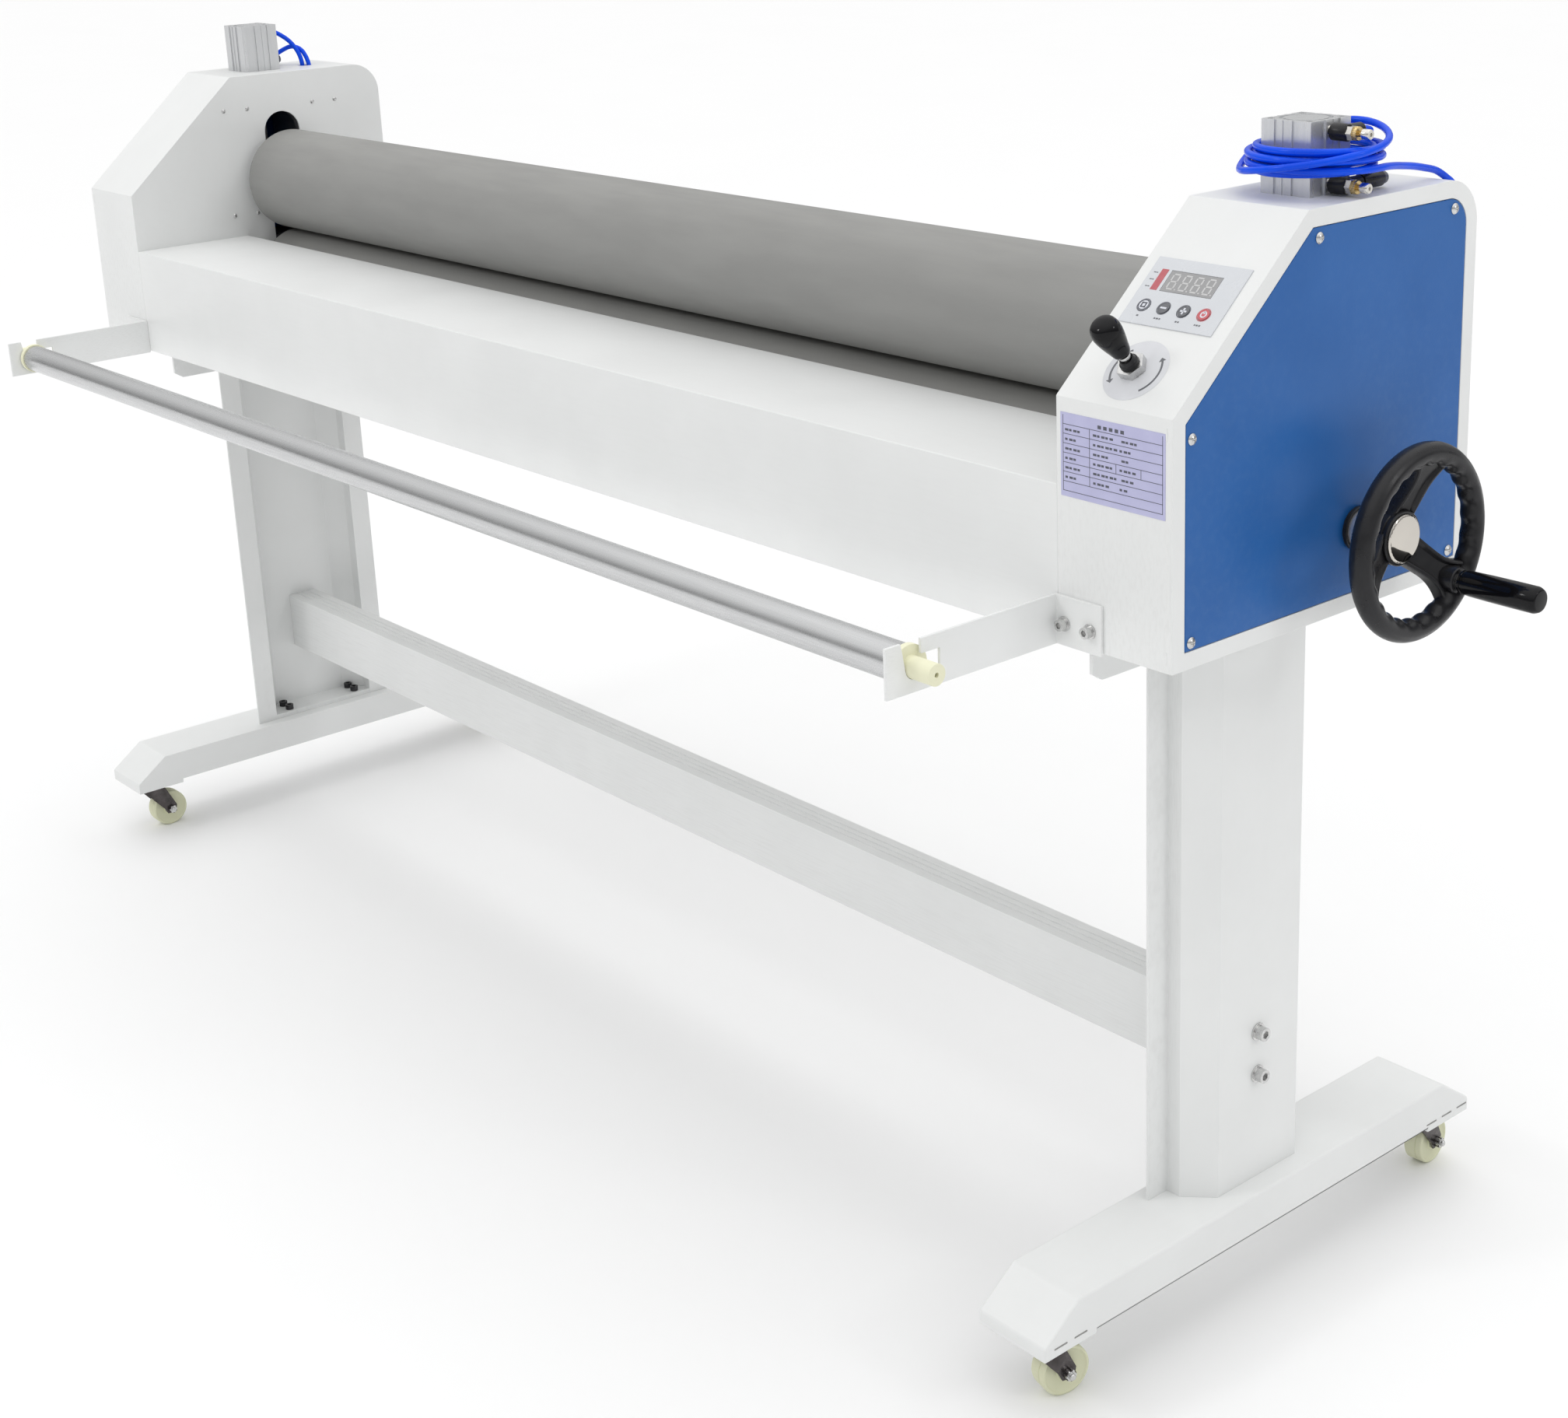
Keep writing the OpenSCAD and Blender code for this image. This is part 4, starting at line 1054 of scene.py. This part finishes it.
@dataclass
class Caster:
    """One swivel caster; its CAD fork stays, its wheel is turned nylon."""

    name: str
    sign: tuple[int, int]
    yaw: float
    trail: float = 22.0
    wheel_r: float = 24.0
    width: float = 20.0

    def build(self) -> None:
        """Makes the wheel with its parting groove and hub."""
        turn = Matrix.Rotation(math.radians(self.yaw), 3, "Z")
        foot = Vector((self.sign[0] * FOOT_X, self.sign[1] * CASTER_Y, 0))
        axis = turn @ ACROSS
        origin = foot + turn @ Vector((-self.width / 2, self.trail, self.wheel_r))
        r, w = self.wheel_r, self.width
        half = [(3.1, 0.0), (8.4, 0.0), (9, 0.5), (9.2, 1.5), (19.6, 1.5), (20.4, 0.9), (21.6, 0.2),
                (22.8, 0.4), (23.7, 1.2), (r, 2.6)]
        groove = [(r, 12.6), (r - 0.5, 12.8), (r - 0.5, 13.3), (r, 13.5)]
        profile = half + groove + [(radius, w - h) for radius, h in reversed(half)]
        Shape().turned(profile, origin, axis, 0, 96, True).piece(
            f"{self.name}_nylon_wheel", (CASTER_NYLON,), f"{self.name}_roll", "caster_nylon",
            (f"{self.name}_wheel",))
        self.axle_nuts(foot + turn @ Vector((0, self.trail, self.wheel_r)), axis)

    def axle_nuts(self, centre: Vector, axis: Vector) -> None:
        """Makes the bright nut and bolt head at the ends of the axle.

        Args:
            centre: Middle of the axle, mm.
            axis: Direction of the axle.
        """
        shape = Shape()
        reach = self.width / 2 + 3.45
        for w in (axis, -axis):
            for inset, low, high in ((0.4, 0.0, 0.5), (0.0, 0.5, 4.6), (0.5, 4.6, 5.2)):
                shape.rings([circle(centre + w * (reach + h), w, [5.7 - inset] * 6) for h in (low, high)])
        shape.turned([(0, 5.0), (3.1, 5.0), (3.1, 7.4), (2.4, 8.2), (0, 8.2)], centre + axis * reach, axis,
                     0, 24)
        shape.piece(f"{self.name}_axle_nuts", (BRIGHT_ZINC,), f"{self.name}_caster", "zinc_plate")


# ---------- printed panels and marks ----------


@dataclass
class ControlPrint:
    """Overlay print, display digits and key symbols of the speed panel."""

    key_x: float = 862.8
    key_pitch: float = 20.6
    key_along: float = 95.5
    ink: float = 0.12
    sunk: float = 0.03
    film_top: float = 1.0
    window_top: float = 0.9
    key_top: float = 1.5

    def _strip(self, shape: Shape, x0: float, x1: float, a0: float, a1: float, height: float,
               finish: int = 0) -> None:
        """Adds a thin printed rectangle.

        Args:
            shape: The shape that it goes in.
            x0: Left edge, mm.
            x1: Right edge, mm.
            a0: Lower edge along the slope, mm.
            a1: Upper edge along the slope, mm.
            height: Height of the surface under it, mm.
            finish: Material index.
        """
        shape.plate([(x0, a0), (x1, a0), (x1, a1), (x0, a1)], on_slope(0, 0, height - self.sunk),
                    ACROSS, UP_SLOPE, self.ink + self.sunk, finish)

    def overlay(self) -> None:
        """Makes the overlay's printed lines and red bar."""
        shape = Shape()
        top = self.film_top
        self._strip(shape, 858, 865, 111, 132, top, 1)
        for k in range(3):
            for dx, w in ((0.0, 2.4), (2.8, 1.6)):
                self._strip(shape, 851.4 + dx, 851.4 + dx + w, 113.4 + 7 * k, 114.2 + 7 * k, top)
        for k, ring in enumerate((2, 2, 2, 1)):
            centre = on_slope(self.key_x + k * self.key_pitch, self.key_along, top)
            shape.turned([(5.7, 0.0), (6.4, 0.0), (6.4, self.ink), (5.7, self.ink)], centre,
                         Axis.SLOPE_OUT, ring, 48, True)
        for k, word in enumerate(((2.0,), (1.6, 2.2, 1.4), (1.8, 1.6), (1.2, 2.0, 1.6))):
            x = self.key_x + k * self.key_pitch - 0.5 * sum(word) - 0.35 * (len(word) - 1)
            for w in word:
                self._strip(shape, x, x + w, 84.4, 85.8, top)
                x += w + 0.7
        shape.piece("panel_print", (KEY_GREY, PRINT_RED, PRINT_DARK), "root", "panel_film")

    def digits(self) -> None:
        """Makes the four unlit number places of the display."""
        shape = Shape()
        w, h, bar, low, top = 8.0, 7.2, 1.5, 113.4, self.window_top
        for k in range(4):
            x = 872.2 + 12.2 * k
            for a in (0.0, h, 2 * h):
                self._strip(shape, x + 1.0, x + w - 1.0, low + a, low + a + bar, top)
            for dx in (0.0, w - bar):
                for a in (bar, h + bar):
                    self._strip(shape, x + dx, x + dx + bar, low + a + 0.2, low + a + h - bar - 0.2, top)
            self._strip(shape, x + w + 1.2, x + w + 2.5, low, low + 1.3, top)
        shape.piece("display_digits", (SEGMENTS,), "root", "display_film")

    def key(self, index: int, name: str, cap: Finish, mark: KeyMark, slot: str) -> None:
        """Makes one domed key with its rim and symbol.

        Args:
            index: Its place from the left.
            name: The key's short name.
            cap: Finish of its dome.
            mark: The symbol on it.
            slot: The record's material slot.
        """
        x, along = self.key_x + index * self.key_pitch, self.key_along
        base = on_slope(x, along, self.window_top)
        top = self.key_top
        shape = Shape()
        shape.turned([(0, 0), (5.2, 0), (5.2, 0.25), (4.9, 0.5), (4.3, 0.56), (0, 0.6)], base, Axis.SLOPE_OUT,
                     0, 48)
        shape.turned([(4.4, 0.5), (5.15, 0.5), (5.15, 0.68), (4.4, 0.68)], base, Axis.SLOPE_OUT, 1, 48, True)
        if mark is KeyMark.RING:
            shape.turned([(1.9, 0.5), (3.1, 0.5), (3.1, 0.72), (1.9, 0.72)], base, Axis.SLOPE_OUT,
                         2, 36, True)
            self._strip(shape, x - 0.6, x + 0.6, along + 0.6, along + 3.6, top, 2)
        elif mark is KeyMark.SQUARE:
            for a in (-2.6, 1.4):
                self._strip(shape, x - 2.6, x + 2.6, along + a, along + a + 1.2, top, 2)
                self._strip(shape, x + a, x + a + 1.2, along - 2.6, along + 2.6, top, 2)
        else:
            self._strip(shape, x - 3.1, x + 3.1, along - 0.8, along + 0.8, top, 2)
            if mark is KeyMark.PLUS:
                self._strip(shape, x - 0.8, x + 0.8, along - 3.1, along + 3.1, top, 2)
        ink = PRINT_DARK if cap is KEY_WHITE else KEY_WHITE
        rim = PRINT_DARK if cap is KEY_WHITE else cap
        shape.piece(f"{name}_key_dome", (cap, rim, ink), f"{name}_key", slot, (f"{name}_button",))

    def build(self) -> None:
        """Makes the print, the digits and the keys."""
        self.overlay()
        self.digits()
        for index, (name, cap, mark, slot) in enumerate((
                ("set", KEY_WHITE, KeyMark.SQUARE, "white_key"),
                ("minus", KEY_GREY, KeyMark.MINUS, "grey_key"),
                ("plus", KEY_GREY, KeyMark.PLUS, "grey_key"),
                ("power", KEY_RED, KeyMark.RING, "red_key"))):
            self.key(index, name, cap, mark, slot)


@dataclass
class HousingMarks:
    """Round decal under the knob, the data plate and the weld marks on the frame."""

    decal_r: float = 28.8
    decal_at: tuple[float, float] = (895.0, 36.0)
    arrow_sweep: float = 84.0
    arrow_head: float = math.degrees(0.16)
    table_left: float = 842.5
    table_low: float = 795.5
    row: float = 7.7
    line: float = 0.45

    def decal(self) -> None:
        """Makes the round decal with two plain curved arrows."""
        shape = Shape()
        shape.turned([(8.4, 0.0), (self.decal_r - 0.2, 0.0), (self.decal_r, 0.15), (self.decal_r - 0.2, 0.3),
                      (8.4, 0.3)], on_slope(*self.decal_at), Axis.SLOPE_OUT, 0, 96, True)
        ink_at = on_slope(*self.decal_at, 0.2)
        for start in (130.0, -50.0):
            outer, inner = (arc(r, start, start + self.arrow_sweep * 15 / 14, 15) for r in (23.6, 21.8))
            shape.plate(outer + inner[::-1], ink_at, ACROSS, UP_SLOPE, 0.2, 1)
            side = start + self.arrow_sweep
            corners = ((25.8, side), (22.7, side + self.arrow_head), (19.6, side))
            shape.plate([arc(r, a, a, 1)[0] for r, a in corners], ink_at, ACROSS, UP_SLOPE, 0.2, 1)
        shape.piece("valve_decal", (DECAL_FILM, KEY_GREY), "root", "panel_film")

    def data_plate(self) -> None:
        """Makes the plate on the right housing's front, with blank table rows."""
        shape = Shape()

        def patch(x0: float, x1: float, z0: float, z1: float, thick: float, finish: int) -> None:
            """Adds one rectangle that stands out of the front face."""
            shape.plate([(x0, z0), (x1, z0), (x1, z1), (x0, z1)], (0, FRONT_Y, 0), ACROSS, UP, thick, finish)

        patch(840, 950, 791, 859, 0.3, 0)
        rows = [self.table_low + self.row * k for k in range(8)]
        for z in rows:
            patch(self.table_left, self.table_left + 105, z, z + self.line, 0.42, 1)
        for x, z0, z1 in ((self.table_left, rows[0], 857), (947, rows[0], 857), (871, rows[1], rows[7]),
                          (899, rows[3], rows[4]), (925, rows[3], rows[4])):
            patch(x, x + self.line, z0, z1, 0.42, 1)
        for k, z in enumerate(rows[1:-1]):
            for start, count in ((845, 3 + k % 2), (875, 4 + (k * 2) % 3), (903 + 2 * (k % 2), 2 + k % 3)):
                for n in range(count):
                    patch(start + 4.4 * n, start + 4.4 * n + 2.6 + (n + k) % 2, z + 2.8, z + 4.6, 0.42, 2)
        for n in range(5):
            patch(880 + 6 * n, 883.6 + 6 * n, 851.4, 854.2, 0.42, 2)
        shape.piece("data_plate", (LABEL_FILM, PRINT_DARK, PRINT_DARK), "root", "panel_film")

    def weld_marks(self) -> None:
        """Makes the small ground weld beads on the feet, legs and housings, with the slots on the feet as
        dark plates of painted shade.
        """
        shape = Shape()
        rounded = arc(1.0, -90, 270, 12)
        slot = [(c * 0.8 + (7.0 if c > 0 else -7.0), s * 0.8) for c, s in rounded]
        bead = [(c * 0.9, s * 5.5) for c, s in rounded]
        for side in Side:
            s = side.value
            u = Vector((0, s, 0))
            v = Vector((s, 0, 0)).cross(u)
            for y in (-276, -252, 236, 260, 284):
                # The slots in the feet are thin dark plates: painted shade where their hollows fall in
                # shadow.
                shape.plate(slot, (s * (FOOT_X + 39.95), y, 77.5), u, v, 0.3, 1)
        for side in Side:
            for z in (680, 858):
                shape.plate(bead, (side.value * (CASING_X - 6), FRONT_Y + 0.02, z), ACROSS, UP, 0.3)
        shape.piece("weld_beads", (WHITE_PAINT, PAINTED_SLOT_SHADE), "root", "white_paint")

    def build(self) -> None:
        """Makes the decal, the plate and the beads."""
        self.decal()
        self.data_plate()
        self.weld_marks()


# ---------- CAD pieces that stay ----------


@dataclass(frozen=True)
class Dress:
    """How one CAD piece is finished."""

    node: str
    finish: Finish
    edge: float = 0.5
    sharp: float = 35.0

    def apply(self) -> None:
        """Gives the piece its finish and broken edges."""
        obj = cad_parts[self.node]
        obj.data.materials.clear()
        obj.data.materials.append(self.finish.material())
        weld = obj.modifiers.new("weld", "WELD")
        weld.merge_threshold = 0.00001
        flat = obj.modifiers.new("flat_faces", "DECIMATE")
        flat.decimate_type = "DISSOLVE"
        flat.angle_limit = math.radians(1.0)
        edge = obj.modifiers.new("broken_edges", "BEVEL")
        edge.width = self.edge * MM
        edge.segments = 3
        edge.limit_method = "ANGLE"
        edge.angle_limit = math.radians(self.sharp)
        edge.use_clamp_overlap = True
        obj.data.shade_smooth()
        normals = obj.modifiers.new("even_normals", "WEIGHTED_NORMAL")
        normals.keep_sharp = True
        LOG.info("dressed %s in %s", self.node, self.finish.label)


def dressings() -> list[Dress]:
    """Returns the finish of every CAD piece that stays visible."""
    plan: list[Dress] = []
    for side in Side:
        plan += [Dress(f"{side.word}_{part}", finish, edge) for part, finish, edge in (
            ("housing", WHITE_PAINT, 1.6), ("side_cover", BLUE_PAINT, 0.8), ("leg", WHITE_PAINT, 1.2),
            ("foot", WHITE_PAINT, 2.8), ("side_plate", STEEL_PLATE, 0.6), ("bearing_block", CAST_GREY, 1.0),
            ("air_cylinder", UPRIGHT_ALUMINIUM, 0.5), ("idler_bracket", WHITE_PAINT, 0.5))]
    plan += [Dress(*row) for row in (
        ("front_beam", WHITE_PAINT, 1.4), ("rear_beam", WHITE_PAINT, 1.4), ("crossbar", WHITE_PAINT, 1.4),
        ("leg_base_bolts", BLACK_OXIDE, 0.4), ("frame_cap_screws", BRIGHT_ZINC, 0.4),
        ("housing_screws", BRIGHT_ZINC, 0.25), ("slide_guides", STEEL_PLATE, 0.5),
        ("top_roller_shaft", GROUND_STEEL, 0.6), ("drive_roller_shaft", GROUND_STEEL, 0.6),
        ("drive_bearings", CAST_GREY, 0.8), ("gear_motor", CAST_GREY, 1.0),
        ("piston_rods", GROUND_STEEL, 0.3), ("valve_body", BLACK_PLASTIC, 0.4),
        ("valve_nut", BRIGHT_ZINC, 0.5), ("valve_lever", BRIGHT_ZINC, 0.2),
        ("control_panel", PANEL_FILM, 0.2), ("display_window", DISPLAY_FILM, 0.15),
        ("power_inlet", BLACK_PLASTIC, 0.6), ("hub_cap", CHROME, 0.3), ("crank_spindle", BRIGHT_ZINC, 0.3),
        ("idler_plugs", CREAM_NYLON, 0.4), ("caster_plates", DARK_ZINC, 0.5))]
    return plan + [Dress(f"{name}_fork", DARK_ZINC, 0.4) for name, _, _ in CASTERS]


def main() -> None:
    """Builds the studio, the hoses, the pieces and the finishes."""
    studio = Studio()
    studio.camera()
    AirHoses().build()
    studio.light()
    studio.floor()
    builders: list[Callable[[], None]] = [
        FlowControls().build, Rollers().build, HandWheel().build, ValveKnob().build,
        ControlPrint().build, HousingMarks().build]
    builders += [Caster(*row).build for row in CASTERS]
    for build in builders:
        build()
    for dress in dressings():
        dress.apply()


if __name__ == "__main__":
    main()
